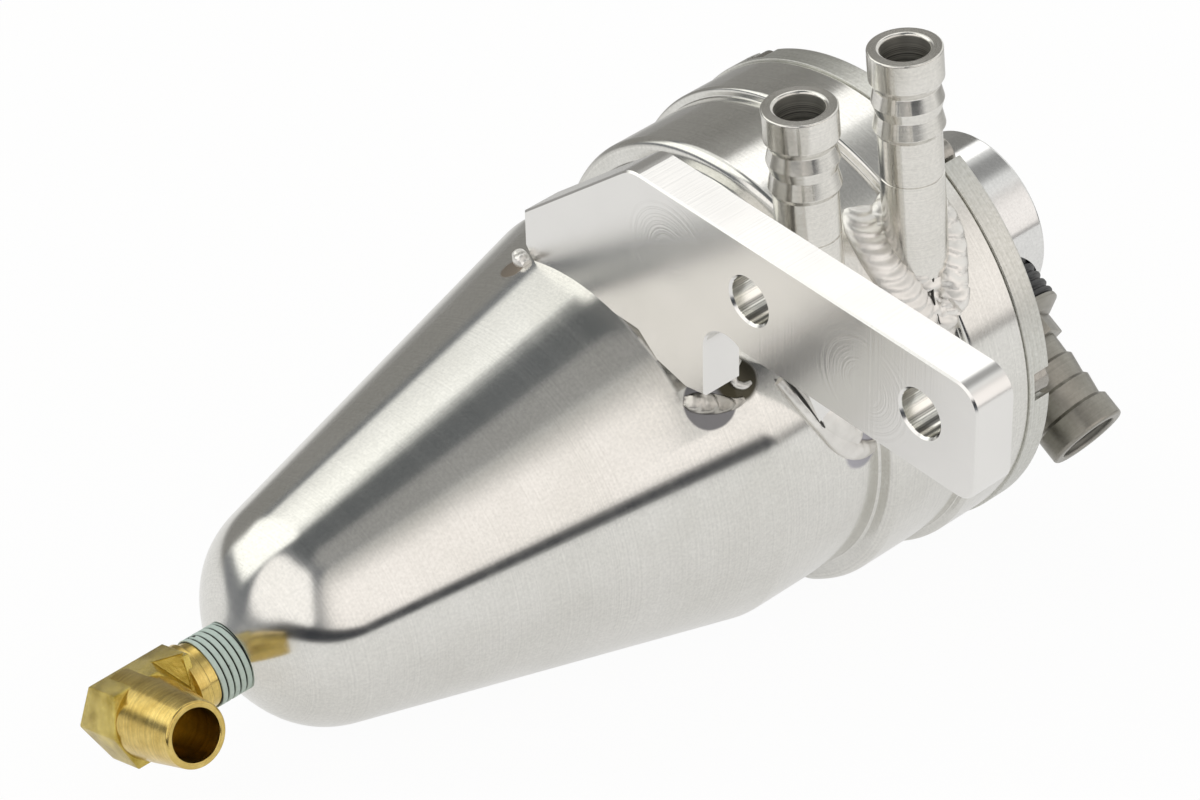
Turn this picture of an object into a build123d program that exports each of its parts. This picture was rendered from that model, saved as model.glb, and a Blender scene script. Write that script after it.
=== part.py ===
# Oil catch can: a turned aluminium vessel that hangs nose down from a side bracket.
# It has a bolted lid, two side inlets for hoses, an outlet in a hub and a brass drain elbow.
# Z runs along the can towards the lid and X along the bracket's arm. The origin lies midway
# between the two bolt holes of the arm, on the arm's face that looks towards the nose.
import os
from math import cos, radians, sin, sqrt

from build123d import *

os.makedirs("parts", exist_ok=True)

# Where the can stands from its bolts
can_to_bolts_x = 68.65
can_to_bolts_y = 63.2
lid_face_height = 77.12

# Vessel, with levels measured down from the lid's outer face
lid_radius = 50.8
lid_thickness = 5.33
rim_radius = 50.3
rim_step_depth = 18.6
shoulder_radius = 48.43
shoulder_step_depth = 39.8
barrel_radius = 44.07
barrel_depth = 64.3
cone_depth = 147.3
cone_end_radius = 22.75
nose_depth = 163.9
nose_face_radius = 7.4
nose_rounding = [(21.8, 3.4), (19.9, 6.8), (17.1, 10.2), (12.6, 13.6)]
rim_edge_rounding = 1.7
shoulder_edge_rounding = 2.1
chamber_radius = 41.0
cone_wall = 3.1
chamber_nose_rise = 4.3
drain_seat_length = 5.3
chamber_floor_radius = 9.0
drain_passage_radius = 5.2

# Lid, its screws and its seal
register_gap = 0.15
register_length = 3.0
lid_edge_chamfer = 0.35
screw_count = 6
screw_pitch_radius = 47.4
screw_first_angle = -4.7
screw_radius = 2.0
screw_length = 10.0
screw_head_radius = 3.5
screw_head_height = 4.0
screw_key_flats = 3.0
screw_key_depth = 2.0
counterbore_radius = 4.6
counterbore_depth = 4.2
screw_hole_spare = 0.8
screw_clearance = 0.25
screw_head_chamfer = 0.3
seal_mean_radius = 43.2
seal_width = 2.2
seal_groove_width = 2.4
seal_groove_depth = 1.5
seal_edge_share = 0.3

# Hub on the lid and the side port
hub_radius = 18.7
hub_height = 32.1
hub_chamfer = 0.5
hub_spigot_radius = 14.0
hub_bore_radius = 9.0
hub_seal_mean_radius = 16.5
hub_seal_width = 1.6
hub_seal_groove_width = 1.8
hub_seal_depth = 1.1
port_height = 18.37
port_angle = 28.5
port_runout = 0.5
port_bore_radius = 8.8

# Outlet fitting, with places measured out from the can's axis
thread_root_radius = 12.5
thread_crest_radius = 13.04
thread_start = 10.0
thread_end = 23.9
thread_pitch = 1.95
thread_depth = 0.35
thread_gap = 0.03
fitting_flange_radius = 13.0
fitting_flange_length = 0.8
fitting_neck_radius = 10.2
fitting_neck_start = 26.2
hexagon_corner_radius = 10.0
hexagon_end = 30.8
hexagon_turn = 15.0
outlet_shank_radius = 7.62
outlet_crest_radius = 8.1
outlet_root_radius = 7.48
outlet_crests = [35.9, 41.2]
outlet_crest_rise = 0.7
outlet_barb_length = 4.5
outlet_collar_start = 46.5
outlet_collar_radius = 8.45
outlet_collar_rounding = 0.6
outlet_end = 51.8
outlet_bore_radius = 6.2

# Inlet barbs, with places measured down from their tops
inlet_top_reach = 77.35
inlet_offset = 35.71
inlet_turn = 5.86
inlet_upper_depth = 19.22
inlet_lower_depth = 46.17
inlet_bore_radius = 4.72
inlet_mouth_chamfer = 0.7
inlet_collar_radius = 7.25
inlet_collar_length = 6.2
inlet_rim_chamfer = 0.3
inlet_neck_radius = 6.3
inlet_necks = [7.9, 13.2]
inlet_crest_radius = 6.98
inlet_crests = [10.9, 16.6]
inlet_crest_back = 1.2
inlet_shank_radius = 6.24
inlet_groove_place = 27.0
inlet_groove_width = 0.7
inlet_groove_depth = 0.2
inlet_weld_size = 2.6
inlet_weld_start = 7.0

# Bracket, with places measured from the can's axis along the arm and out to the bolts
plate_thickness = 8.7
bolt_spacing = 43.1
bolt_hole_radius = 4.75
bolt_hole_chamfer = 0.5
arm_end_margin = 13.8
arm_top_margin = 12.3
arm_bottom_margin = 12.9
arm_top_corner = 5.5
arm_bottom_corner = 4.5
plate_edge_chamfer = 0.4
slope_top = 15.3
slope_rounding = 7.0
toe_left = -14.9
toe_slope_foot = 49.3
toe_bottom = 41.5
toe_corner = (-12.7, 38.4)
lobe_root = (22.0, 34.9)
lobe_foot = (30.1, 33.1)
lobe_tip = 34.1
notch_left = 35.2
notch_radius = 6.0
notch_height = 45.6
saddle_inset = 5.0
leg_left = 33.5
leg_right = 42.2
leg_foot_reach = 27.1
leg_barb_drop = 11.03
leg_front_reach = 57.5
leg_top_reach = 68.0
leg_thickness = 8.4
leg_barb_gap = 0.3

# Weld beads of the bracket: angles, and drops below the arm's face or the leg's foot
toe_bead_path = [(101.0, 0.88), (107.0, 1.48), (112.5, 1.28)]
toe_bead_radius = 3.6
lobe_bead_path = [(44.0, -0.92), (41.0, -3.62), (37.5, -5.62), (38.5, -8.62), (42.0, -11.62)]
lobe_bead_radius = 2.6
leg_bead_path = [(38.5, 0.4), (30.2, -1.6), (21.0, -4.4), (12.6, -6.3), (11.0, -12.7)]
leg_bead_radius = 1.9

# Drain elbow, with places measured from the elbow's own centre
elbow_depth = 185.3
elbow_angle = -20.86
drain_root_radius = 6.55
drain_crest_radius = 6.9
drain_thread_depth = 0.25
drain_thread_pitch = 1.41
drain_thread_length = 14.6
drain_thread_top = 156.3
elbow_neck_radius = 6.6
elbow_ring_radius = 7.3
elbow_ring_length = 1.5
elbow_block_top = 11.0
elbow_block_foot = 8.6
elbow_block_face = 5.9
elbow_half_width = 7.6
elbow_front = 5.5
elbow_back = 6.6
elbow_back_face = 3.4
elbow_outlet_length = 20.0
elbow_outlet_base_radius = 7.84
elbow_outlet_end_radius = 6.3
elbow_outlet_bore_radius = 5.05
elbow_outlet_chamfer = 0.5
elbow_stem_bore_radius = 4.2
elbow_bore_overrun = 2.5

# Separator inside the vessel, with levels measured down from the lid's outer face
dip_tube_wall = 1.0
dip_tube_top = 1.0
dip_tube_length = 82.0
dip_hole_radius = 2.4
dip_hole_rows = [64.0, 70.0, 76.0]
dip_hole_count = 6
mesh_top = 60.0
mesh_radius = 15.0
mesh_gap = 0.05
cap_thickness = 3.0
rod_radius = 2.5
rod_spare = 1.5
baffle_depth = 98.0
baffle_thickness = 2.0
baffle_gap = 0.2
baffle_hole_radius = 2.5
baffle_ring_radii = [12.0, 20.5, 28.0]
baffle_hole_counts = [8, 14, 20]
nut_flats = 8.0
nut_height = 4.0

can_centre = Vector(-can_to_bolts_x, can_to_bolts_y, lid_face_height)
can_axis = Axis((-can_to_bolts_x, can_to_bolts_y, 0), (0, 0, 1))
section = Plane(origin=can_centre, x_dir=(1, 0, 0), z_dir=(0, -1, 0))
cone_slope = (barrel_radius - cone_end_radius) / (cone_depth - barrel_depth)
chamber_floor_depth = drain_thread_top - drain_seat_length
dip_tube_end = dip_tube_top + dip_tube_length
baffle_foot = baffle_depth + baffle_thickness


def level(depth):
    """Plane square to the can at a depth below the lid's outer face."""
    return Plane(origin=can_centre - Vector(0, 0, depth))


def across(depth, offset, angle):
    """Plane whose y runs out from the can at an angle, and whose x runs up the can."""
    along = Vector(cos(radians(angle)), sin(radians(angle)), 0)
    side = Vector(-along.Y, along.X, 0)
    origin = can_centre - Vector(0, 0, depth) + side * offset
    return Plane(origin=origin, x_dir=(0, 0, 1), z_dir=Vector(0, 0, 1).cross(along))


def facing(plane):
    """Plane at the same origin that looks along the y direction of a plane."""
    return Plane(origin=plane.origin, x_dir=(0, 0, 1), z_dir=plane.y_dir)


def axis_of(plane):
    """Axis along the y direction of a plane."""
    return Axis(plane.origin, plane.y_dir)


def cone_radius(depth, wall=0.0):
    """Radius of the cone at a depth, inside a wall measured square to it."""
    outer = barrel_radius - cone_slope * (depth - barrel_depth)
    return outer - wall * sqrt(1 + cone_slope ** 2)


def turned(points, plane):
    """Solid of revolution about the y direction of a plane, from its half section there."""
    with BuildPart() as piece:
        with BuildSketch(plane):
            Polygon(*points, align=None)
        revolve(axis=axis_of(plane))
    return piece.part


def vessel_outside(grow=0.0):
    """The vessel's outside as a full solid, made larger all round by grow."""
    last = (nose_face_radius + grow, -nose_depth - grow)
    first = (cone_end_radius + grow, -cone_depth)
    with BuildPart() as piece:
        with BuildSketch(section):
            with BuildLine():
                Polyline(
                    last,
                    (0, -nose_depth - grow),
                    (0, -lid_thickness),
                    (rim_radius + grow, -lid_thickness),
                    (rim_radius + grow, -rim_step_depth - grow),
                    (shoulder_radius + grow, -rim_step_depth - grow),
                    (shoulder_radius + grow, -shoulder_step_depth - grow),
                    (barrel_radius + grow, -shoulder_step_depth - grow),
                    (barrel_radius + grow, -barrel_depth),
                    first,
                )
                Spline(
                    first,
                    *[(radius + grow, -cone_depth - drop) for radius, drop in nose_rounding],
                    last,
                )
            make_face()
        revolve(axis=can_axis)
    return piece.part


def step_edge(piece, radius, depth):
    """The circular edge of a turned piece that has this radius at this depth."""
    height = lid_face_height - depth
    circles = piece.edges().filter_by(GeomType.CIRCLE)
    circles = circles.filter_by(lambda edge: abs(edge.radius - radius) < 0.01)
    return circles.filter_by(lambda edge: abs(edge.center().Z - height) < 0.01)


inlet_planes = {
    "inlet_upper": across(inlet_upper_depth, inlet_offset, -90 - inlet_turn),
    "inlet_lower": across(inlet_lower_depth, inlet_offset, -90 - inlet_turn),
}
port_plane = across(-port_height, 0, port_angle)
port_face = facing(port_plane)
envelope = vessel_outside()

# Vessel: turned from one piece, with a stepped rim, a cone and a round nose
chamber_cone_start = barrel_depth - (
    chamber_radius - cone_radius(barrel_depth, cone_wall)
) / cone_slope
chamber_nose_depth = cone_depth - chamber_nose_rise
with BuildPart() as vessel_body:
    add(envelope)
    fillet(step_edge(vessel_body, rim_radius, rim_step_depth), rim_edge_rounding)
    fillet(step_edge(vessel_body, shoulder_radius, shoulder_step_depth), shoulder_edge_rounding)
    with BuildSketch(section):
        Polygon(
            (0, -lid_thickness),
            (chamber_radius, -lid_thickness),
            (chamber_radius, -chamber_cone_start),
            (cone_radius(chamber_nose_depth, cone_wall), -chamber_nose_depth),
            (chamber_floor_radius, -chamber_floor_depth),
            (0, -chamber_floor_depth),
            align=None,
        )
    revolve(axis=can_axis, mode=Mode.SUBTRACT)
    with BuildSketch(level(lid_thickness)):
        Circle(seal_mean_radius + seal_groove_width / 2)
        Circle(seal_mean_radius - seal_groove_width / 2, mode=Mode.SUBTRACT)
    extrude(amount=-seal_groove_depth, mode=Mode.SUBTRACT)
    with BuildSketch(level(lid_thickness)):
        with PolarLocations(screw_pitch_radius, screw_count, screw_first_angle):
            Circle(screw_radius)
    screw_reach = counterbore_depth + screw_length + screw_hole_spare - lid_thickness
    extrude(amount=-screw_reach, mode=Mode.SUBTRACT)
    with BuildSketch(level(nose_depth)):
        Circle(drain_crest_radius)
    extrude(amount=nose_depth - drain_thread_top, mode=Mode.SUBTRACT)
    with BuildSketch(level(nose_depth)):
        Circle(drain_passage_radius)
    extrude(amount=nose_depth - chamber_floor_depth, mode=Mode.SUBTRACT)
    for plane in inlet_planes.values():
        with BuildSketch(facing(plane)):
            Circle(inlet_bore_radius)
        extrude(amount=inlet_top_reach, mode=Mode.SUBTRACT)
vessel_body.part.label = "vessel_body"
export_step(vessel_body.part, "parts/vessel_body.step")

# Lid: a plain disc whose register centres it in the vessel, with screw seats open to its edge
with BuildPart() as lid:
    with BuildSketch(level(lid_thickness)):
        Circle(lid_radius)
    extrude(amount=lid_thickness)
    chamfer(lid.edges().group_by(Axis.Z)[-1], lid_edge_chamfer)
    with BuildSketch(level(lid_thickness)):
        Circle(chamber_radius - register_gap)
    extrude(amount=-register_length)
    with BuildSketch(level(0)):
        Circle(hub_spigot_radius)
        with PolarLocations(screw_pitch_radius, screw_count, screw_first_angle):
            Circle(screw_radius + screw_clearance)
    extrude(amount=-lid_thickness - register_length, mode=Mode.SUBTRACT)
    with BuildSketch(level(0)):
        with PolarLocations(screw_pitch_radius, screw_count, screw_first_angle):
            Circle(counterbore_radius)
    extrude(amount=-counterbore_depth, mode=Mode.SUBTRACT)
lid.part.label = "lid"
export_step(lid.part, "parts/lid.step")

# Seal between lid and vessel, pressed to the depth of its groove
with BuildPart() as lid_seal:
    with BuildSketch(level(lid_thickness + seal_groove_depth)):
        Circle(seal_mean_radius + seal_width / 2)
        Circle(seal_mean_radius - seal_width / 2, mode=Mode.SUBTRACT)
    extrude(amount=seal_groove_depth)
    rims = lid_seal.edges().filter_by(GeomType.CIRCLE)
    fillet(rims, seal_groove_depth * seal_edge_share)
lid_seal.part.label = "lid_seal"
export_step(lid_seal.part, "parts/lid_seal.step")

# Cap screws of the lid, six alike
with BuildPart() as lid_screws:
    screw_spots = PolarLocations(screw_pitch_radius, screw_count, screw_first_angle)
    with BuildSketch(level(counterbore_depth)):
        with screw_spots:
            Circle(screw_head_radius)
    extrude(amount=screw_head_height)
    chamfer(lid_screws.edges().group_by(Axis.Z)[-1], screw_head_chamfer)
    with BuildSketch(level(counterbore_depth)):
        with screw_spots:
            Circle(screw_radius)
    extrude(amount=-screw_length)
    with BuildSketch(level(counterbore_depth - screw_head_height)):
        with screw_spots:
            RegularPolygon(screw_key_flats / 2, 6, major_radius=False)
    extrude(amount=-screw_key_depth, mode=Mode.SUBTRACT)
lid_screws.part.label = "lid_screws"
export_step(lid_screws.part, "parts/lid_screws.step")

# Hub: screwed into the lid by its spigot, bored up the middle and tapped in its side
with BuildPart() as hub:
    with BuildSketch(level(0)):
        Circle(hub_radius)
    extrude(amount=hub_height)
    chamfer(hub.edges().group_by(Axis.Z)[-1], hub_chamfer)
    with BuildSketch(level(0)):
        Circle(hub_spigot_radius)
    extrude(amount=-lid_thickness - register_length)
    with BuildSketch(level(0)):
        Circle(hub_seal_mean_radius + hub_seal_groove_width / 2)
        Circle(hub_seal_mean_radius - hub_seal_groove_width / 2, mode=Mode.SUBTRACT)
    extrude(amount=hub_seal_depth, mode=Mode.SUBTRACT)
    with BuildSketch(level(lid_thickness + register_length)):
        Circle(hub_bore_radius)
    extrude(amount=lid_thickness + register_length + port_height, mode=Mode.SUBTRACT)
    with BuildSketch(port_face):
        Circle(port_bore_radius)
    extrude(amount=hub_radius, mode=Mode.SUBTRACT)
    with BuildSketch(port_face.offset(thread_start - port_runout)):
        Circle(thread_crest_radius + thread_gap)
    extrude(amount=hub_radius, mode=Mode.SUBTRACT)
hub.part.label = "hub"
export_step(hub.part, "parts/hub.step")

# Seal under the hub
with BuildPart() as hub_seal:
    with BuildSketch(level(0)):
        Circle(hub_seal_mean_radius + hub_seal_width / 2)
        Circle(hub_seal_mean_radius - hub_seal_width / 2, mode=Mode.SUBTRACT)
    extrude(amount=hub_seal_depth)
hub_seal.part.label = "hub_seal"
export_step(hub_seal.part, "parts/hub_seal.step")

# Outlet fitting: taper thread, flange, hexagon and a hose end with two barbs and a collar
thread_end_piece = turned(
    [
        (0, thread_start),
        (thread_root_radius, thread_start),
        (thread_root_radius, thread_end),
        (fitting_flange_radius, thread_end),
        (fitting_flange_radius, thread_end + fitting_flange_length),
        (fitting_neck_radius, fitting_neck_start),
        (0, fitting_neck_start),
    ],
    port_plane,
)
hose_outline = [(0, hexagon_end), (outlet_shank_radius, hexagon_end)]
for crest in outlet_crests:
    hose_outline += [
        (outlet_root_radius, crest - outlet_crest_rise),
        (outlet_crest_radius, crest),
        (outlet_root_radius, crest + outlet_barb_length),
    ]
hose_outline += [
    (outlet_collar_radius, outlet_collar_start),
    (outlet_collar_radius, outlet_end - outlet_collar_rounding),
    (outlet_collar_radius - outlet_collar_rounding, outlet_end),
    (0, outlet_end),
]
hose_end_piece = turned(hose_outline, port_plane)
with BuildPart() as outlet_fitting:
    add(thread_end_piece)
    with BuildSketch(port_face.offset(fitting_neck_start)):
        RegularPolygon(hexagon_corner_radius, 6, rotation=hexagon_turn)
    extrude(amount=hexagon_end - fitting_neck_start)
    add(hose_end_piece)
    with BuildSketch(port_face.offset(thread_start)):
        Circle(outlet_bore_radius)
    extrude(amount=outlet_end - thread_start, mode=Mode.SUBTRACT)
outlet_fitting.part.label = "outlet_fitting"
export_step(outlet_fitting.part, "parts/outlet_fitting.step")

# Black sealant that fills the fitting's thread and stands out of the port as ridges
ridge_count = int((thread_end - thread_start) / thread_pitch)
ridge_step = (thread_end - thread_start) / ridge_count
sealant_outline = [(thread_root_radius, thread_end), (thread_root_radius, thread_start)]
for ridge in range(ridge_count):
    foot = thread_start + ridge * ridge_step
    sealant_outline += [
        (thread_crest_radius - thread_depth, foot),
        (thread_crest_radius, foot + ridge_step / 3),
        (thread_crest_radius, foot + ridge_step * 2 / 3),
    ]
sealant_outline.append((thread_crest_radius - thread_depth, thread_end))
with BuildPart() as outlet_sealant:
    with BuildSketch(port_plane):
        Polygon(*sealant_outline, align=None)
    revolve(axis=axis_of(port_plane))
outlet_sealant.part.label = "outlet_sealant"
export_step(outlet_sealant.part, "parts/outlet_sealant.step")

# Inlet barbs: two alike, set off to one side of the chamber and coped to the vessel
barb_top = inlet_top_reach
groove_place = barb_top - inlet_groove_place
groove_floor = inlet_shank_radius - inlet_groove_depth
barb_outline = [
    (inlet_bore_radius, 0),
    (inlet_shank_radius, 0),
    (inlet_shank_radius, groove_place - inlet_groove_width / 2),
    (groove_floor, groove_place - inlet_groove_width / 2),
    (groove_floor, groove_place + inlet_groove_width / 2),
    (inlet_shank_radius, groove_place + inlet_groove_width / 2),
    (inlet_shank_radius, barb_top - inlet_crests[1] - inlet_crest_back),
    (inlet_crest_radius, barb_top - inlet_crests[1]),
    (inlet_neck_radius, barb_top - inlet_necks[1]),
    (inlet_crest_radius, barb_top - inlet_crests[0]),
    (inlet_neck_radius, barb_top - inlet_necks[0]),
    (inlet_collar_radius, barb_top - inlet_collar_length),
    (inlet_collar_radius, barb_top - inlet_rim_chamfer),
    (inlet_collar_radius - inlet_rim_chamfer, barb_top),
    (inlet_bore_radius + inlet_mouth_chamfer, barb_top),
    (inlet_bore_radius, barb_top - inlet_mouth_chamfer),
]
for name, plane in inlet_planes.items():
    with BuildPart() as inlet_barb:
        with BuildSketch(plane):
            Polygon(*barb_outline, align=None)
        revolve(axis=axis_of(plane))
        add(envelope, mode=Mode.SUBTRACT)
    inlet_barb.part.label = f"{name}_barb"
    export_step(inlet_barb.part, f"parts/{name}_barb.step")

# Bracket: one machined piece, a flat arm with a saddle for the cone and a sloping leg
arm_end = can_to_bolts_x + bolt_spacing / 2 + arm_end_margin
arm_top = can_to_bolts_y + arm_top_margin
arm_bottom = can_to_bolts_y - arm_bottom_margin
notch_centre = notch_left + notch_radius
saddle_floor = saddle_inset - barrel_radius
leg_back = lid_face_height - plate_thickness
leg_sunk = lid_face_height - plate_thickness / 2
leg_foot_depth = inlet_lower_depth + leg_barb_drop
leg_slope = (leg_back - leg_foot_depth) / (leg_front_reach - leg_foot_reach)


def leg_depth(reach):
    """Depth of the leg's front face at a distance out from the can's axis."""
    return leg_foot_depth + leg_slope * (reach - leg_foot_reach)


leg_root = leg_foot_reach - saddle_inset * 4
leg_plane = Plane(origin=can_centre + Vector(leg_left, 0, 0), x_dir=(0, -1, 0), z_dir=(-1, 0, 0))
with BuildPart() as bracket:
    with BuildSketch(Plane(origin=(can_centre.X, can_centre.Y, 0))) as plate:
        Polygon(
            (arm_end, -arm_top),
            (slope_top, -arm_top),
            (toe_left, -toe_slope_foot),
            (toe_left, -toe_bottom),
            (toe_corner[0], -toe_corner[1]),
            (toe_corner[0] + saddle_inset, saddle_floor),
            (lobe_root[0] - saddle_inset, saddle_floor),
            (lobe_root[0], -lobe_root[1]),
            (lobe_foot[0], -lobe_foot[1]),
            (notch_left, -lobe_tip),
            (notch_left, -notch_height),
            (notch_centre, -notch_height),
            (notch_centre, -arm_bottom),
            (arm_end, -arm_bottom),
            align=None,
        )
        fillet(plate.vertices().sort_by_distance((arm_end, -arm_top))[0], arm_top_corner)
        fillet(plate.vertices().sort_by_distance((arm_end, -arm_bottom))[0], arm_bottom_corner)
        fillet(plate.vertices().sort_by_distance((slope_top, -arm_top))[0], slope_rounding)
        with Locations((notch_centre, -notch_height)):
            Circle(notch_radius, mode=Mode.SUBTRACT)
    extrude(amount=plate_thickness)
    chamfer(bracket.edges().group_by(Axis.Z)[0], plate_edge_chamfer)
    with Locations((-bolt_spacing / 2, 0), (bolt_spacing / 2, 0)):
        Hole(bolt_hole_radius)
    holes = bracket.edges().filter_by(GeomType.CIRCLE)
    chamfer(holes.filter_by(lambda e: abs(e.radius - bolt_hole_radius) < 0.01), bolt_hole_chamfer)
    with BuildSketch(leg_plane):
        Polygon(
            (leg_root, -leg_depth(leg_root)),
            (leg_front_reach, -leg_back),
            (leg_front_reach, -leg_sunk),
            (leg_top_reach, -leg_sunk),
            (leg_top_reach, leg_thickness - leg_depth(leg_top_reach)),
            (leg_root, leg_thickness - leg_depth(leg_root)),
            align=None,
        )
    extrude(amount=leg_left - leg_right)
    add(envelope, mode=Mode.SUBTRACT)
    with BuildSketch(facing(inlet_planes["inlet_lower"])):
        Circle(inlet_shank_radius + leg_barb_gap)
    extrude(amount=inlet_top_reach, mode=Mode.SUBTRACT)
bracket.part.label = "bracket"
export_step(bracket.part, "parts/bracket.step")


# Fillet welds round the feet of the inlet barbs, in two steps that follow both surfaces
def weld_ring(foot, out, over):
    """Ring round a barb's foot, out from the barb and over the vessel by shares of its size."""
    skin = vessel_outside(inlet_weld_size * over)
    with BuildPart() as ring:
        with BuildSketch(foot.offset(inlet_weld_start)):
            Circle(inlet_shank_radius + inlet_weld_size * out)
            Circle(inlet_shank_radius, mode=Mode.SUBTRACT)
        extrude(amount=inlet_top_reach / 2)
        add(skin, mode=Mode.INTERSECT)
        add(envelope, mode=Mode.SUBTRACT)
    return ring.part


inlet_welds = []
for name, plane in inlet_planes.items():
    wide = weld_ring(facing(plane), 1.0, 0.5)
    tall = weld_ring(facing(plane), 0.5, 1.0)
    with BuildPart() as inlet_weld:
        add(wide)
        add(tall)
        add(bracket.part, mode=Mode.SUBTRACT)
    inlet_welds.append(inlet_weld.part)
    inlet_weld.part.label = f"{name}_weld"
    export_step(inlet_weld.part, f"parts/{name}_weld.step")


# Weld beads of the bracket: at its toe, under its lobe and along the foot of its leg
def at_cone(angle, depth, out=0.0):
    """Point on the vessel's outside at an angle and a depth, moved out by a distance."""
    radius = cone_radius(max(depth, barrel_depth))
    turn = radians(-angle)
    away = Vector(cos(turn), sin(turn), 0) * (radius + out)
    return can_centre + away - Vector(0, 0, depth)


def bead(points, radius):
    """A round bead of weld through points."""
    with BuildPart() as run:
        for point in points:
            with Locations(point):
                Sphere(radius)
        for start, end in zip(points, points[1:]):
            with BuildSketch(Plane(origin=start, z_dir=end - start)):
                Circle(radius)
            extrude(amount=(end - start).length)
    return run.part


bead_paths = {
    "bracket_toe_weld": (toe_bead_path, lid_face_height, toe_bead_radius),
    "bracket_lobe_weld": (lobe_bead_path, lid_face_height, lobe_bead_radius),
    "bracket_leg_weld": (leg_bead_path, leg_foot_depth, leg_bead_radius),
}
for name, (path, depth, radius) in bead_paths.items():
    run = bead([at_cone(angle, depth + drop) for angle, drop in path], radius)
    with BuildPart() as bead_piece:
        add(run)
        add(envelope, mode=Mode.SUBTRACT)
        add(bracket.part, mode=Mode.SUBTRACT)
        for inlet_weld_part in inlet_welds:
            add(inlet_weld_part, mode=Mode.SUBTRACT)
    bead_piece.part.label = name
    export_step(bead_piece.part, f"parts/{name}.step")

# Drain elbow: a brass forging with a taper thread up and a plain outlet to one side
elbow_side = across(elbow_depth, 0, elbow_angle)
elbow_end = facing(elbow_side)
elbow_up = Plane(origin=elbow_side.origin, x_dir=elbow_side.y_dir)
stem_outline = [
    (0, 0),
    (elbow_ring_radius, 0),
    (elbow_ring_radius, elbow_block_top + elbow_ring_length),
    (elbow_neck_radius, elbow_block_top + elbow_ring_length),
    (elbow_neck_radius, elbow_depth - drain_thread_top - drain_thread_length),
    (drain_root_radius, elbow_depth - drain_thread_top - drain_thread_length),
    (drain_root_radius, elbow_depth - drain_thread_top),
    (0, elbow_depth - drain_thread_top),
]
outlet_outline = [
    (0, 0),
    (elbow_outlet_base_radius, 0),
    (elbow_outlet_base_radius, elbow_front),
    (elbow_outlet_end_radius, elbow_outlet_length - elbow_outlet_chamfer),
    (elbow_outlet_end_radius - elbow_outlet_chamfer, elbow_outlet_length),
    (0, elbow_outlet_length),
]
elbow_outlet = turned(outlet_outline, elbow_side)
with BuildPart() as drain_elbow:
    with BuildSketch(elbow_up.offset(-elbow_block_foot)):
        Polygon(
            (elbow_front, -elbow_half_width),
            (elbow_front, elbow_half_width),
            (-elbow_back_face, elbow_half_width),
            (-elbow_back, 0),
            (-elbow_back_face, -elbow_half_width),
            align=None,
        )
    extrude(amount=elbow_block_foot + elbow_block_top)
    with BuildSketch(elbow_end.offset(-elbow_back)):
        Polygon(
            (-elbow_block_foot, 0),
            (-elbow_block_face, elbow_half_width),
            (elbow_block_top, elbow_half_width),
            (elbow_block_top, -elbow_half_width),
            (-elbow_block_face, -elbow_half_width),
            align=None,
        )
    extrude(amount=elbow_back + elbow_front, mode=Mode.INTERSECT)
    add(elbow_outlet)
    with BuildSketch(Plane(origin=elbow_side.origin, x_dir=(1, 0, 0), z_dir=(0, -1, 0))):
        Polygon(*stem_outline, align=None)
    revolve(axis=can_axis)
    with BuildSketch(elbow_up):
        Circle(elbow_stem_bore_radius)
    extrude(amount=elbow_depth - drain_thread_top, mode=Mode.SUBTRACT)
    with BuildSketch(elbow_end.offset(-elbow_bore_overrun)):
        Circle(elbow_outlet_bore_radius)
    extrude(amount=elbow_outlet_length + elbow_bore_overrun, mode=Mode.SUBTRACT)
drain_elbow.part.label = "drain_elbow"
export_step(drain_elbow.part, "parts/drain_elbow.step")

# Pale sealant that fills the elbow's thread and shows as ridges below the nose
drain_ridges = int(drain_thread_length / drain_thread_pitch)
drain_step = drain_thread_length / drain_ridges
drain_foot = elbow_depth - drain_thread_top - drain_thread_length
drain_outline = [
    (drain_root_radius, drain_foot + drain_thread_length),
    (drain_root_radius, drain_foot),
]
for ridge in range(drain_ridges):
    foot = drain_foot + ridge * drain_step
    drain_outline += [
        (drain_crest_radius - drain_thread_depth, foot),
        (drain_crest_radius, foot + drain_step / 3),
        (drain_crest_radius, foot + drain_step * 2 / 3),
    ]
drain_outline.append((drain_crest_radius - drain_thread_depth, drain_foot + drain_thread_length))
with BuildPart() as drain_sealant:
    with BuildSketch(Plane(origin=elbow_side.origin, x_dir=(1, 0, 0), z_dir=(0, -1, 0))):
        Polygon(*drain_outline, align=None)
    revolve(axis=can_axis)
drain_sealant.part.label = "drain_sealant"
export_step(drain_sealant.part, "parts/drain_sealant.step")

# Dip tube: pressed into the hub, with rows of holes inside the mesh at its lower end
dip_radius = hub_bore_radius
with BuildPart() as dip_tube:
    with BuildSketch(level(dip_tube_top)):
        Circle(dip_radius)
        Circle(dip_radius - dip_tube_wall, mode=Mode.SUBTRACT)
    extrude(amount=-dip_tube_length)
    for depth in dip_hole_rows:
        for turn in range(dip_hole_count):
            with BuildSketch(facing(across(depth, 0, turn * 360 / dip_hole_count))):
                Circle(dip_hole_radius)
            extrude(amount=2 * dip_radius, mode=Mode.SUBTRACT)
dip_tube.part.label = "dip_tube"
export_step(dip_tube.part, "parts/dip_tube.step")

# Wire mesh sleeve round the dip tube's holes
with BuildPart() as filter_mesh:
    with BuildSketch(level(mesh_top)):
        Circle(mesh_radius)
        Circle(dip_radius + mesh_gap, mode=Mode.SUBTRACT)
    extrude(amount=mesh_top - dip_tube_end)
filter_mesh.part.label = "filter_mesh"
export_step(filter_mesh.part, "parts/filter_mesh.step")

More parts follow.
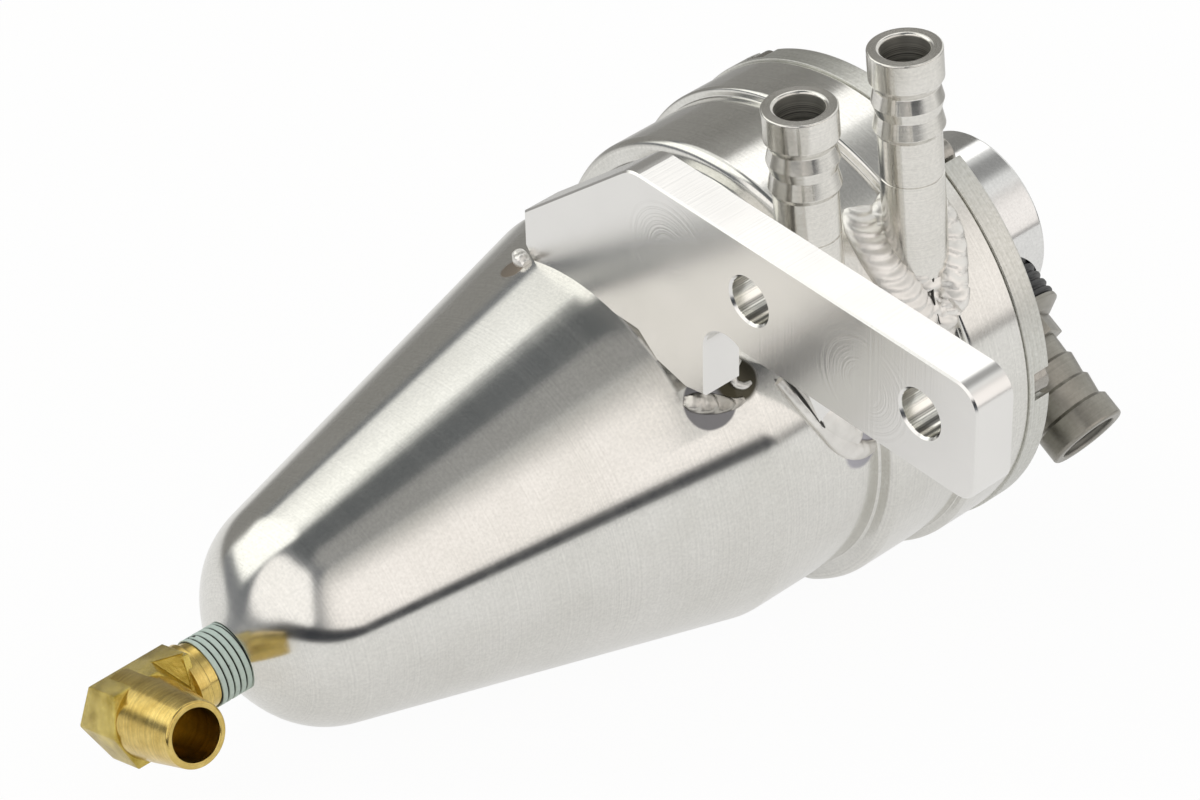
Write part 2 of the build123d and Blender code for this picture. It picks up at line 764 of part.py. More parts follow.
# Cap that closes the tube and carries the mesh
with BuildPart() as filter_cap:
    with BuildSketch(level(dip_tube_end)):
        Circle(mesh_radius)
    extrude(amount=-cap_thickness)
    with BuildSketch(level(dip_tube_end)):
        Circle(dip_radius - dip_tube_wall)
    extrude(amount=cap_thickness)
    with BuildSketch(level(dip_tube_end - cap_thickness)):
        Circle(rod_radius)
    extrude(amount=-2 * cap_thickness, mode=Mode.SUBTRACT)
filter_cap.part.label = "filter_cap"
export_step(filter_cap.part, "parts/filter_cap.step")

# Threaded rod from the cap down to the baffle
with BuildPart() as baffle_rod:
    with BuildSketch(level(dip_tube_end - cap_thickness)):
        Circle(rod_radius)
    extrude(amount=-(baffle_foot + nut_height + rod_spare - dip_tube_end + cap_thickness))
baffle_rod.part.label = "baffle_rod"
export_step(baffle_rod.part, "parts/baffle_rod.step")

# Perforated baffle whose edge follows the cone
with BuildPart() as baffle_plate:
    with BuildSketch(section):
        Polygon(
            (rod_radius, -baffle_depth),
            (cone_radius(baffle_depth, cone_wall) - baffle_gap, -baffle_depth),
            (cone_radius(baffle_foot, cone_wall) - baffle_gap, -baffle_foot),
            (rod_radius, -baffle_foot),
            align=None,
        )
    revolve(axis=can_axis)
    with BuildSketch(level(baffle_depth)):
        for radius, count in zip(baffle_ring_radii, baffle_hole_counts):
            with PolarLocations(radius, count):
                Circle(baffle_hole_radius)
    extrude(amount=-baffle_thickness, mode=Mode.SUBTRACT)
baffle_plate.part.label = "baffle_plate"
export_step(baffle_plate.part, "parts/baffle_plate.step")

# Nuts above and below the baffle
with BuildPart() as baffle_nuts:
    for depth in (baffle_depth, baffle_foot + nut_height):
        with BuildSketch(level(depth)):
            RegularPolygon(nut_flats / 2, 6, major_radius=False)
            Circle(rod_radius, mode=Mode.SUBTRACT)
        extrude(amount=nut_height)
baffle_nuts.part.label = "baffle_nuts"
export_step(baffle_nuts.part, "parts/baffle_nuts.step")
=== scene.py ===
# Oil catch can: a turned aluminium cone with a welded bracket, two inlets, a bolted lid,
# a hub with a grey outlet fitting, and a brass drain elbow. Sizes are in millimetres.
import math
from functools import partial

import bmesh
import bpy
import numpy as np
from mathutils import Matrix, Vector, noise


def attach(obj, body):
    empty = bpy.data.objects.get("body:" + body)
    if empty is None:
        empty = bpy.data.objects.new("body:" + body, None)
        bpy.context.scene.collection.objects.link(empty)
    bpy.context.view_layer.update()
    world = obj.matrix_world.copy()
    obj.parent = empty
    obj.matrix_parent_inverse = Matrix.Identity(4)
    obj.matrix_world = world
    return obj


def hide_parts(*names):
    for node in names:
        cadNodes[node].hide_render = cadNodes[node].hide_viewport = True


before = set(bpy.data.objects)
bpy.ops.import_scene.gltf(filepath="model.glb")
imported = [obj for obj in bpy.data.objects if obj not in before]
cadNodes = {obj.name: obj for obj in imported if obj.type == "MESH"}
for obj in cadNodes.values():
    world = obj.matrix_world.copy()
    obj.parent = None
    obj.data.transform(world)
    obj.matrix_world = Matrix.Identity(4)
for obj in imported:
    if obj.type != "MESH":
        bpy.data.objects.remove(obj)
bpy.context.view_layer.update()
print("frame loaded with", len(cadNodes), "nodes")

millimetre = 0.001
canCentre = Vector((-68.65, 63.2, 77.12))
up = Vector((0, 0, 1))


# Colours, nodes and small helpers
def hexColour(code):
    parts = [int(code[i:i + 2], 16) / 255 for i in (1, 3, 5)]
    linear = [p / 12.92 if p <= 0.04045 else ((p + 0.055) / 1.055) ** 2.4 for p in parts]
    return (*linear, 1.0)


def addNode(tree, kind, inputs=None, output=None, **settings):
    # Kind is a type and after a point its operation or data type; without a prefix it is a shader
    # node. Colours may be hex codes. Returns the named output, or the first one in use.
    kind, _, option = kind.partition(".")
    known = kind.startswith(("Geometry", "Function", "NodeGroup"))
    node = tree.nodes.new(kind if known else "ShaderNode" + kind)
    if option:
        settings["operation" if hasattr(node, "operation") else "data_type"] = option
    for name, value in settings.items():
        setattr(node, name, value)
    for name, value in (inputs or {}).items():
        socket = node.inputs[name]
        if isinstance(value, str) and value.startswith("#"):
            value = hexColour(value)
        if isinstance(value, bpy.types.NodeSocket):
            tree.links.new(value, socket)
        else:
            socket.default_value = value
    used = [s for s in node.outputs if s.enabled and output in (None, s.name)]
    return used[0] if used else None


def newMaterial(name):
    # An empty material, its node adder and the Object coordinates that each finish reads
    material = bpy.data.materials.new(name)
    material.use_nodes = True
    material.node_tree.nodes.clear()
    add = partial(addNode, material.node_tree)
    return material, add, add("TexCoord", output="Object")


def newGeometryTree(name, sockets, result):
    # A Geometry Nodes tree, its node adder and its inputs by name; sockets maps each to its kind
    tree = bpy.data.node_groups.new(name, "GeometryNodeTree")
    for label, kind in sockets.items():
        tree.interface.new_socket(label, in_out="INPUT", socket_type="NodeSocket" + kind)
    tree.interface.new_socket(result, in_out="OUTPUT", socket_type="NodeSocketGeometry")
    add = partial(addNode, tree)
    return tree, add, add("NodeGroupInput").node.outputs


def endGeometry(add, geometry, finish):
    real = add("GeometryNodeRealizeInstances", {0: geometry})
    dressed = add("GeometryNodeSetMaterial", {"Geometry": real, "Material": finish})
    add("NodeGroupOutput", {0: dressed})


def frameAlong(origin, zWay, xWay=(0, 0, 1)):
    # Matrix from local millimetres to the row frame in metres, with local Z along zWay
    zAxis = Vector(zWay).normalized()
    xAxis = Vector(xWay) - zAxis * Vector(xWay).dot(zAxis)
    xAxis.normalize()
    turn = Matrix((xAxis, zAxis.cross(xAxis), zAxis)).transposed().to_4x4()
    turn.translation = Vector(origin)
    return Matrix.Scale(millimetre, 4) @ turn


def headingAt(degrees):
    angle = math.radians(degrees)
    return Vector((math.cos(angle), math.sin(angle), 0))


def roundedOutline(points, steps=5):
    # Points are (radius, height) or (radius, height, rounding of that corner)
    outline = []
    count = len(points)
    for index, point in enumerate(points):
        here = Vector(point[:2])
        rounding = point[2] if len(point) > 2 else 0
        if rounding == 0:
            outline.append(here)
            continue
        back = Vector(points[index - 1][:2]) - here
        ahead = Vector(points[(index + 1) % count][:2]) - here
        half = back.angle(ahead) / 2
        reach = min(rounding / math.tan(half), 0.45 * back.length, 0.45 * ahead.length)
        size = reach * math.tan(half)
        middle = (back.normalized() + ahead.normalized()).normalized()
        centre = here + middle * (size / math.sin(half))
        start = here + back.normalized() * reach
        end = here + ahead.normalized() * reach
        margin = min(0.12 * reach + 0.03, 0.03 * back.length + 0.01)
        outline.append(start + back.normalized() * margin)
        for step in range(steps + 1):
            way = (start - centre).normalized().slerp((end - centre).normalized(), step / steps)
            outline.append(centre + way * size)
        margin = min(0.12 * reach + 0.03, 0.03 * ahead.length + 0.01)
        outline.append(end + ahead.normalized() * margin)
    return outline


def plainMesh(piece):
    # Takes the piece with its modifiers as a plain mesh
    graph = bpy.context.evaluated_depsgraph_get()
    graph.update()
    mesh = bpy.data.meshes.new_from_object(piece.evaluated_get(graph))
    piece.modifiers.clear()
    piece.data = mesh
    return piece


def tidyMesh(piece, sharpAngle=28):
    work = bmesh.new()
    work.from_mesh(piece.data)
    bmesh.ops.remove_doubles(work, verts=work.verts, dist=2e-7)
    bmesh.ops.dissolve_degenerate(work, dist=1e-8, edges=work.edges)
    bmesh.ops.recalc_face_normals(work, faces=work.faces)
    work.to_mesh(piece.data)
    work.free()
    piece.data.shade_smooth()
    piece.data.set_sharp_from_angle(angle=math.radians(sharpAngle))
    return piece


def meshPiece(name, corners, faces, edges=()):
    mesh = bpy.data.meshes.new(name)
    mesh.from_pydata([tuple(c) for c in corners], list(edges), list(faces))
    mesh.update()
    piece = bpy.data.objects.new(name, mesh)
    bpy.context.collection.objects.link(piece)
    return piece


def socketIds(tree):
    return {s.name: s.identifier for s in tree.interface.items_tree if s.in_out == "INPUT"}


# Geometry Nodes tree that turns a half outline round the local Z axis, as a lathe does
def makeTurningTree():
    tree, add, given = newGeometryTree("turningOutline", {
        "Outline": "Geometry", "Outline points": "Int", "Segments": "Int", "Finish": "Material"},
        "Turned piece")
    around = add("Math.ADD", {0: given["Segments"], 1: 1})
    sheet = add("GeometryNodeMeshGrid", {"Size X": 1.0, "Size Y": 1.0,
        "Vertices X": given["Outline points"], "Vertices Y": around})
    spot = add("GeometryNodeInputPosition")
    parts = add("SeparateXYZ", {0: spot}).node.outputs
    last = add("Math.SUBTRACT", {0: given["Outline points"], 1: 1.0})
    share = add("Math.ADD", {0: parts[0], 1: 0.5})
    row = add("Math.MULTIPLY", {0: share, 1: last})
    row = add("Math.ROUND", {0: row})
    taken = add("GeometryNodeSampleIndex.FLOAT_VECTOR",
        {"Geometry": given["Outline"], "Value": spot, "Index": row})
    turn = add("Math.ADD", {0: parts[1], 1: 0.5})
    turn = add("Math.MULTIPLY", {0: turn, 1: 2 * math.pi})
    placed = add("VectorRotate", {"Vector": taken, "Angle": turn}, rotation_type="Z_AXIS")
    moved = add("GeometryNodeSetPosition", {"Geometry": sheet, "Position": placed})
    closed = add("GeometryNodeMergeByDistance", {"Geometry": moved, "Distance": 0.0005})
    endGeometry(add, closed, given["Finish"])
    return tree


turningTree = makeTurningTree()


def turned(name, outline, place, segments=192, sharpAngle=28):
    # Outline is a list of (radius, height); it is closed where it ends on its first point
    piece = meshPiece(name, [(p[0], 0, p[1]) for p in outline], [])
    lathe = piece.modifiers.new("turning", "NODES")
    lathe.node_group = turningTree
    ids = socketIds(turningTree)
    lathe[ids["Outline points"]] = len(outline)
    lathe[ids["Segments"]] = segments
    plainMesh(piece)
    piece.data.transform(place)
    return tidyMesh(piece, sharpAngle)


def cylinder(name, radius, low, high, place, segments):
    return turned(name, [(0, low), (radius, low), (radius, high), (0, high)], place, segments)


def cut(piece, *cutters, operation="DIFFERENCE", sharpAngle=28):
    for cutter in cutters:
        step = piece.modifiers.new("cut", "BOOLEAN")
        step.operation = operation
        step.solver = "EXACT"
        step.object = cutter
    plainMesh(piece)
    for cutter in cutters:
        bpy.data.objects.remove(cutter)
    return tidyMesh(piece, sharpAngle)


def joined(name, *pieces):
    work = bmesh.new()
    for piece in pieces:
        work.from_mesh(piece.data)
        bpy.data.objects.remove(piece)
    result = meshPiece(name, [], [])
    work.to_mesh(result.data)
    work.free()
    result.data.shade_smooth()
    return result


def finished(piece, finish, slotName, *replaced):
    piece.data.materials.clear()
    piece.data.materials.append(finish)
    for polygon in piece.data.polygons:
        polygon.material_index = 0
    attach(piece, "root")
    if replaced:
        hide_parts(*replaced)
    return piece


# Materials. Turned metal carries fine rings round its axis, closer than the eye parts them,
# so light smears along the piece; the rings that show are drawn coarser than the real ones.
def turnedMetal(name, look, centre, axis, halos=()):
    material, add, place = newMaterial(name)
    normal = add("NewGeometry", output="Normal")
    away = add("VectorMath.SUBTRACT", {0: place, 1: Vector(centre) * millimetre})
    along = add("VectorMath.DOT_PRODUCT", {0: away, 1: Vector(axis).normalized()})
    around = add("VectorMath.CROSS_PRODUCT", {0: Vector(axis).normalized(), 1: away})
    out = add("VectorMath.LENGTH", {0: around})
    grain = add("VectorMath.CROSS_PRODUCT", {0: around, 1: normal})
    grain = add("VectorMath.NORMALIZE", {0: grain})
    ring = add("Math.ADD", {0: along, 1: out})
    sway = add("TexNoise", {"Vector": place, "Scale": 60.0, "Detail": 2.0})
    ring = add("Math.MULTIPLY_ADD", {0: sway, 1: look["sway"] * millimetre, 2: ring})
    fine = add("TexNoise", {"W": ring, "Scale": 1000 * look["lines"], "Detail": 3.0, "Roughness": 0.65},
        noise_dimensions="1D")
    broad = add("TexNoise", {"W": ring, "Scale": 1000 * look["bands"], "Detail": 2.0},
        noise_dimensions="1D")
    patch = add("TexNoise", {"Vector": place, "Scale": 1000 * look["patches"], "Detail": 5.0,
        "Roughness": 0.6})
    rough = add("MapRange", {"Value": broad, "From Min": 0.3, "From Max": 0.7,
        "To Min": look["roughness"] - look["roughSpread"],
        "To Max": look["roughness"] + look["roughSpread"]})
    rough = add("Math.MULTIPLY_ADD", {0: patch, 1: look["roughPatch"], 2: rough})
    shade = add("MapRange", {"Value": fine, "From Min": 0.25, "From Max": 0.75,
        "To Min": 1 - look["lineShade"], "To Max": 1 + 0.3 * look["lineShade"]})
    speckle = add("TexNoise", {"Vector": place, "Scale": 1700.0, "Detail": 3.0})
    speckle = add("MapRange", {"Value": speckle, "From Min": 0.3, "From Max": 0.7, "To Min": 0.93,
        "To Max": 1.04})
    shade = add("Math.MULTIPLY", {0: shade, 1: speckle})
    worn = add("MapRange", {"Value": patch, "From Min": 0.35, "From Max": 0.7})
    colour = add("Mix.RGBA", {"Factor": worn, 6: look["colour"], 7: look["second"]})
    colour = add("VectorMath.SCALE", {0: colour, "Scale": shade})
    if "bore" in look:
        # A bored wall is left rougher than the outside, and its colour is painted darker in rings: painted
        # shade down the bore
        inside = add("Math.LESS_THAN", {0: out, 1: look["bore"] * millimetre})
        rough = add("Mix.FLOAT", {"Factor": inside, 2: rough, 3: 0.5})
        boreShade = add("MapRange", {"Value": fine, "From Min": 0.3, "From Max": 0.7, "To Min": 0.16,
            "To Max": 0.6})
        boreShade = add("VectorMath.SCALE", {0: (1.0, 0.98, 0.9), "Scale": boreShade})
        colour = add("Mix.RGBA", {"Factor": inside, 6: colour, 7: boreShade})
    for halo in halos:
        # Heat and arc marks beside a weld, and painted shade in the pocket under the notch: a greyish ring
        # with a soft, uneven edge
        gap = add("VectorMath.DISTANCE", {0: place, 1: Vector(halo["at"]) * millimetre})
        ragged = add("Math.MULTIPLY_ADD", {0: patch, 1: halo["ragged"] * millimetre, 2: gap})
        mask = add("MapRange", {"Value": ragged, "From Min": (halo["size"] + halo["soft"]) * millimetre,
            "From Max": halo["size"] * millimetre}, interpolation_type="SMOOTHSTEP")
        strength = add("Math.MULTIPLY", {0: mask, 1: halo["strength"]})
        colour = add("Mix.RGBA", {"Factor": strength, 6: colour, 7: halo["colour"]})
        rough = add("Mix.FLOAT", {"Factor": strength, 2: rough, 3: halo["roughness"]})
    bump = add("Bump", {"Height": fine, "Strength": look["lineDepth"], "Distance": 0.00002})
    bump = add("Bump", {"Height": patch, "Strength": look["dents"], "Distance": 0.0002, "Normal": bump})
    skin = add("BsdfPrincipled", {"Base Color": colour, "Metallic": 1.0, "Roughness": rough,
        "Anisotropic": look["smear"], "Tangent": grain, "Normal": bump})
    add("OutputMaterial", {"Surface": skin})
    return material


# Vessel: bare aluminium, bright and finely turned. Lid: satin. Hub: polished to a mirror. Barb: bright,
# with finer rings. Fitting: warm grey and satin. Brass tube: turned, a little tarnished.
# Lines and bands are counts per millimetre, sway is in millimetres, bore is a radius.
lookKeys = ("colour", "second", "roughness", "roughSpread", "roughPatch", "lines", "bands", "patches",
    "lineShade", "lineDepth", "dents", "smear", "sway", "bore")
turnedLooks = {name: dict(zip(lookKeys, values)) for name, values in {
    "vessel": ("#e2e1dd", "#d9d8d3", 0.14, 0.01, 0.04, 1.9, 0.2, 0.05, 0.07, 0.03, 0.03, 0.6, 0.0),
    "lid": ("#deded9", "#cfcfc8", 0.27, 0.03, 0.1, 2.2, 0.5, 1.4, 0.2, 0.25, 0.3, 0.3, 1.2),
    "hub": ("#e4e4e3", "#dfdfde", 0.1, 0.01, 0.02, 4.0, 0.4, 0.1, 0.04, 0.05, 0.0, 0.5, 0.0),
    "barb": ("#e6e4df", "#dedcd6", 0.16, 0.02, 0.03, 3.0, 0.3, 0.1, 0.08, 0.1, 0.02, 0.6, 0.0, 4.85),
    "fitting": ("#a19e96", "#928f87", 0.33, 0.03, 0.05, 2.0, 0.3, 0.2, 0.1, 0.15, 0.05, 0.3, 0.0, 6.35),
    "brassTube": ("#e4ca7c", "#c6a95a", 0.18, 0.04, 0.08, 1.6, 0.4, 0.25, 0.18, 0.35, 0.15, 0.5, 0.2),
}.items()}


# A spot on the vessel's barrel or cone, by its angle and its depth under the lid's top
def onCone(angle, depth, out=0.0):
    radius = vessel["barrelRadius"]
    if depth > vessel["barrelDepth"]:
        fall = vessel["barrelRadius"] - vessel["coneEndRadius"]
        radius -= fall * (depth - vessel["barrelDepth"]) / (vessel["coneDepth"] - vessel["barrelDepth"])
    return canCentre + headingAt(-angle) * (radius + out) - up * depth


vessel = {
    "rimRadius": 50.3, "rimDepth": 18.6, "rimRounding": 1.7,
    "shoulderRadius": 48.43, "shoulderDepth": 39.8, "shoulderRounding": 2.1,
    "barrelRadius": 44.07, "barrelDepth": 64.3,
    "coneEndRadius": 22.75, "coneDepth": 147.3,
    "noseDepth": 163.9, "noseFaceRadius": 7.4, "noseHandles": ((20.2, 157.5), (12.6, 160.9)),
    "chamberRadius": 41.0, "chamberConeStart": 63.9, "chamberFoot": (20.6, 143.0),
    "floorDepth": 151.0, "floorRadius": 9.0,
    "drainSeatRadius": 6.9, "drainSeatDepth": 156.3, "drainRadius": 5.2,
    "lidThickness": 5.33, "inletBore": 4.72,
}
canPlace = frameAlong(canCentre, up, (1, 0, 0))

inlets = {
    "offset": 35.71, "angle": -95.86, "depths": {"upper": 19.22, "lower": 46.17}, "top": 77.35,
    "bore": 4.72, "mouth": 0.7, "collarRadius": 7.25, "collarLength": 6.2, "rim": 0.3,
    "neckRadius": 6.3, "necks": (7.9, 13.2), "crestRadius": 6.98, "crests": (10.9, 16.6),
    "crestBack": 1.2, "shankRadius": 6.24, "groovePlace": 27.0, "grooveWidth": 0.7,
    "grooveDepth": 0.2, "feet": {"upper": 27.2, "lower": 13.3},
    "coreRadius": {"upper": 49.3, "lower": 43.0},
}
inletWay = headingAt(inlets["angle"])
inletSide = Vector((-inletWay.y, inletWay.x, 0))


def inletFrame(level):
    origin = canCentre + inletSide * inlets["offset"] - up * inlets["depths"][level]
    return frameAlong(origin, inletWay)


# Vessel, turned from one piece: stepped rim, cone and round nose, with a hollow inside
def noseCurve(steps=26):
    start = Vector((vessel["coneEndRadius"], -vessel["coneDepth"]))
    end = Vector((vessel["noseFaceRadius"], -vessel["noseDepth"]))
    first, second = [Vector((radius, -depth)) for radius, depth in vessel["noseHandles"]]
    points = []
    for step in range(steps + 1):
        t = step / steps
        s = 1 - t
        points.append(s ** 3 * start + 3 * s * s * t * first + 3 * s * t * t * second + t ** 3 * end)
    return points


def buildVessel():
    v = vessel
    outside = roundedOutline([
        (v["rimRadius"], -v["lidThickness"], 0.3),
        (v["rimRadius"], -v["rimDepth"], v["rimRounding"]),
        (v["shoulderRadius"], -v["rimDepth"], 0.25),
        (v["shoulderRadius"], -v["shoulderDepth"], v["shoulderRounding"]),
        (v["barrelRadius"], -v["shoulderDepth"], 0.6),
        (v["barrelRadius"], -v["barrelDepth"], 9.0),
        (v["coneEndRadius"], -v["coneDepth"]),
        (v["chamberRadius"], -v["lidThickness"]),
    ], 6)[:-2]
    inside = [Vector((radius, -depth)) for radius, depth in (
        (v["drainSeatRadius"], v["noseDepth"]), (v["drainSeatRadius"], v["drainSeatDepth"]),
        (v["drainRadius"], v["drainSeatDepth"]), (v["drainRadius"], v["floorDepth"]),
        (v["floorRadius"], v["floorDepth"]), v["chamberFoot"],
        (v["chamberRadius"], v["chamberConeStart"]), (v["chamberRadius"], v["lidThickness"]))]
    outline = outside + noseCurve() + inside
    outline.append(outline[0])
    body = turned("vesselBody", outline, canPlace, 256)
    for level in inlets["depths"]:
        cut(body, cylinder("bore", v["inletBore"], 5, 70, inletFrame(level), 48))
    return body


# Marks that the welding left on the vessel, and painted shade in the pocket under the bracket's notch;
# sizes, soft edges and raggedness in millimetres
haloKeys = ("at", "size", "soft", "ragged", "strength", "colour", "roughness")
vesselHalos = [dict(zip(haloKeys, values)) for values in (
    (onCone(112.4, 80.2), 2.7, 0.5, 0.8, 1.0, "#968c81", 0.5),
    # Painted shade: the next two dark rings fill the pocket under the bracket's notch, where shade falls
    (onCone(41.6, 72.4), 5.7, 0.5, 1.3, 0.92, "#6f6f73", 0.4),
    (onCone(43.0, 66.0), 4.4, 1.2, 1.6, 0.96, "#413d2f", 0.4),
    (onCone(9.6, 44.5), 4.4, 1.0, 2.4, 0.75, "#a3a1ad", 0.5),
    (onCone(0.0, 188.0, -11.0), 13.0, 3.5, 1.0, 0.8, "#d2cfc2", 0.34),
)]
vesselMetal = turnedMetal("turnedAluminium", turnedLooks["vessel"], canCentre, up, vesselHalos)
finished(buildVessel(), vesselMetal, "turned_aluminium", "vessel_body")
print("vessel turned")

# Lid: satin disc with six screw seats open to its edge
lid = {"radius": 50.8, "thickness": 5.33, "edge": 0.35, "hole": 14.0, "screwPitch": 47.4, "screwTurn": -4.7,
    "screwCount": 6, "seatRadius": 4.6, "seatDepth": 4.2}
lidOutline = roundedOutline([
    (lid["hole"], 0), (lid["radius"], 0, lid["edge"]),
    (lid["radius"], -lid["thickness"], 0.15), (lid["hole"], -lid["thickness"])], 3)
lidPiece = turned("lidDisc", lidOutline + [lidOutline[0]], canPlace, 256)
seats = []
for index in range(lid["screwCount"]):
    spot = headingAt(lid["screwTurn"] + index * 360 / lid["screwCount"]) * lid["screwPitch"]
    seats.append(cylinder("seat", lid["seatRadius"], -lid["seatDepth"], 2,
        frameAlong(canCentre + spot, up, (1, 0, 0)), 48))
cut(lidPiece, joined("seats", *seats))
lidMetal = turnedMetal("satinAluminium", turnedLooks["lid"], canCentre, up)
finished(lidPiece, lidMetal, "satin_aluminium", "lid")

# Hub on the lid, polished, with the tapped port in its side
hub = {"radius": 18.7, "height": 32.1, "edge": 0.5, "portRadius": 13.07, "portStart": 9.5,
    "portHeight": 18.37, "portAngle": 28.5}
portWay = headingAt(hub["portAngle"])
portPlace = frameAlong(canCentre + up * hub["portHeight"], portWay)
hubOutline = roundedOutline([
    (0, hub["height"]), (hub["radius"], hub["height"], hub["edge"]), (hub["radius"], 0), (0, 0)], 4)
hubPiece = turned("hubBoss", hubOutline, canPlace, 192)
cut(hubPiece, cylinder("port", hub["portRadius"], hub["portStart"], 30, portPlace, 96))
hubMetal = turnedMetal("polishedAluminium", turnedLooks["hub"], canCentre, up)
finished(hubPiece, hubMetal, "polished_aluminium", "hub")
print("lid and hub turned")


# Inlet barbs: bright turned tubes with a plain collar and two ridges for a hose
def buildBarb(level):
    b = inlets
    top = b["top"]
    groove = top - b["groovePlace"]
    foot = b["feet"][level]
    outline = roundedOutline([
        (b["bore"], foot), (b["shankRadius"], foot),
        (b["shankRadius"], groove - b["grooveWidth"] / 2),
        (b["shankRadius"] - b["grooveDepth"], groove - b["grooveWidth"] / 2 + 0.1),
        (b["shankRadius"] - b["grooveDepth"], groove + b["grooveWidth"] / 2 - 0.1),
        (b["shankRadius"], groove + b["grooveWidth"] / 2),
        (b["shankRadius"], top - b["crests"][1] - b["crestBack"], 0.15),
        (b["crestRadius"], top - b["crests"][1], 0.2),
        (b["neckRadius"], top - b["necks"][1], 0.3),
        (b["crestRadius"], top - b["crests"][0], 0.2),
        (b["neckRadius"], top - b["necks"][0], 0.3),
        (b["collarRadius"], top - b["collarLength"], 0.25),
        (b["collarRadius"], top, b["rim"]),
        (b["bore"], top, b["mouth"]),
    ], 4)
    barb = turned("inletBarb." + level, outline + [outline[0]], inletFrame(level), 128)
    return cut(barb, cylinder("core", b["coreRadius"][level], -60, -6, canPlace, 128))


for level in inlets["depths"]:
    axisPoint = canCentre + inletSide * inlets["offset"] - up * inlets["depths"][level]
    metal = turnedMetal("barbAluminium." + level, turnedLooks["barb"], axisPoint, inletWay)
    finished(buildBarb(level), metal, "polished_aluminium", f"inlet_{level}_barb")
print("inlet barbs turned")

# Outlet fitting: flange, hexagon, two hose ridges and a collar, in warm grey
outlet = {"bore": 6.2, "threadRoot": 12.5, "threadStart": 10.0, "threadEnd": 23.9, "flangeRadius": 13.0,
    "flangeLength": 0.8, "neckRadius": 10.2, "neckStart": 26.2, "hexCorner": 10.0, "hexEnd": 30.8,
    "hexTurn": 15.0, "shankRadius": 7.62, "rootRadius": 7.48, "crestRadius": 8.1, "crests": (35.9, 41.2),
    "crestRise": 0.7, "barbLength": 4.5, "collarStart": 46.5, "collarRadius": 8.45, "collarRounding": 0.6,
    "end": 51.8, "threadFoot": 12.4, "crestLevel": 13.04, "pitch": 1.95, "crestShare": 0.25}
o = outlet
shell = [(o["bore"], o["threadStart"]), (o["threadRoot"] - 0.25, o["threadStart"]),
    (o["threadRoot"] - 0.25, o["threadEnd"]), (o["flangeRadius"], o["threadEnd"], 0.15),
    (o["flangeRadius"], o["threadEnd"] + o["flangeLength"], 0.2), (o["neckRadius"], o["neckStart"], 0.2),
    (o["shankRadius"], o["neckStart"] + 0.5), (o["shankRadius"], o["hexEnd"])]
for crest in o["crests"]:
    shell += [(o["rootRadius"], crest - o["crestRise"], 0.1), (o["crestRadius"], crest, 0.15),
        (o["rootRadius"], crest + o["barbLength"], 0.1)]
shell += [(o["collarRadius"], o["collarStart"], 0.2), (o["collarRadius"], o["end"], o["collarRounding"]),
    (o["bore"], o["end"], 0.4)]
shell = roundedOutline(shell, 4)
fittingTube = turned("tube", shell + [shell[0]], portPlace, 128)
nut = turned("nut", [(7.0, o["neckStart"]), (o["hexCorner"], o["neckStart"]), (o["hexCorner"], o["hexEnd"]),
    (7.0, o["hexEnd"]), (7.0, o["neckStart"])],
    portPlace @ Matrix.Rotation(math.radians(o["hexTurn"]), 4, "Z"), 6, 20)
softEdge = nut.modifiers.new("softEdge", "BEVEL")
softEdge.width = 0.3 * millimetre
softEdge.segments = 3
softEdge.limit_method = "ANGLE"
tidyMesh(plainMesh(nut), 35)
fittingMetal = turnedMetal("greyAluminium", turnedLooks["fitting"], canCentre + up * hub["portHeight"],
    portWay)
finished(joined("outletFitting", fittingTube, nut), fittingMetal, "grey_aluminium", "outlet_fitting")


# Thread sealant: a sleeve with a helical ridge
def threadSleeve(name, place, root, crest, low, high, pitch, crestShare, segments=128, perPitch=12):
    rows = int(round((high - low) / pitch * perPitch)) + 1
    corners = []
    for row in range(rows):
        height = low + (high - low) * row / (rows - 1)
        for step in range(segments):
            phase = ((height - low) / pitch - step / segments) % 1.0
            rise = min(1.0, max(0.0, (0.5 - abs(phase - 0.5)) / (0.5 * (1 - crestShare))))
            ragged = 0.05 * noise.noise(Vector((height * 0.9, step * 0.35, root)))
            radius = root + (crest - root) * (rise * rise * (3 - 2 * rise)) + ragged
            turn = 2 * math.pi * step / segments
            corners.append((radius * math.cos(turn), radius * math.sin(turn), height))
    faces = []
    for row in range(rows - 1):
        for step in range(segments):
            after = (step + 1) % segments
            faces.append((row * segments + step, row * segments + after, (row + 1) * segments + after,
                (row + 1) * segments + step))
    base = len(corners)
    for height in (low, high):
        for step in range(segments):
            turn = 2 * math.pi * step / segments
            corners.append(((root - 0.6) * math.cos(turn), (root - 0.6) * math.sin(turn), height))
    top = (rows - 1) * segments
    for step in range(segments):
        after = (step + 1) % segments
        faces.append((base + step, base + after, after, step))
        faces.append((top + step, top + after, base + segments + after, base + segments + step))
        faces.append((base + segments + step, base + segments + after, base + after, base + step))
    sleeve = meshPiece(name, corners, faces)
    sleeve.data.transform(place)
    return tidyMesh(sleeve, 50)


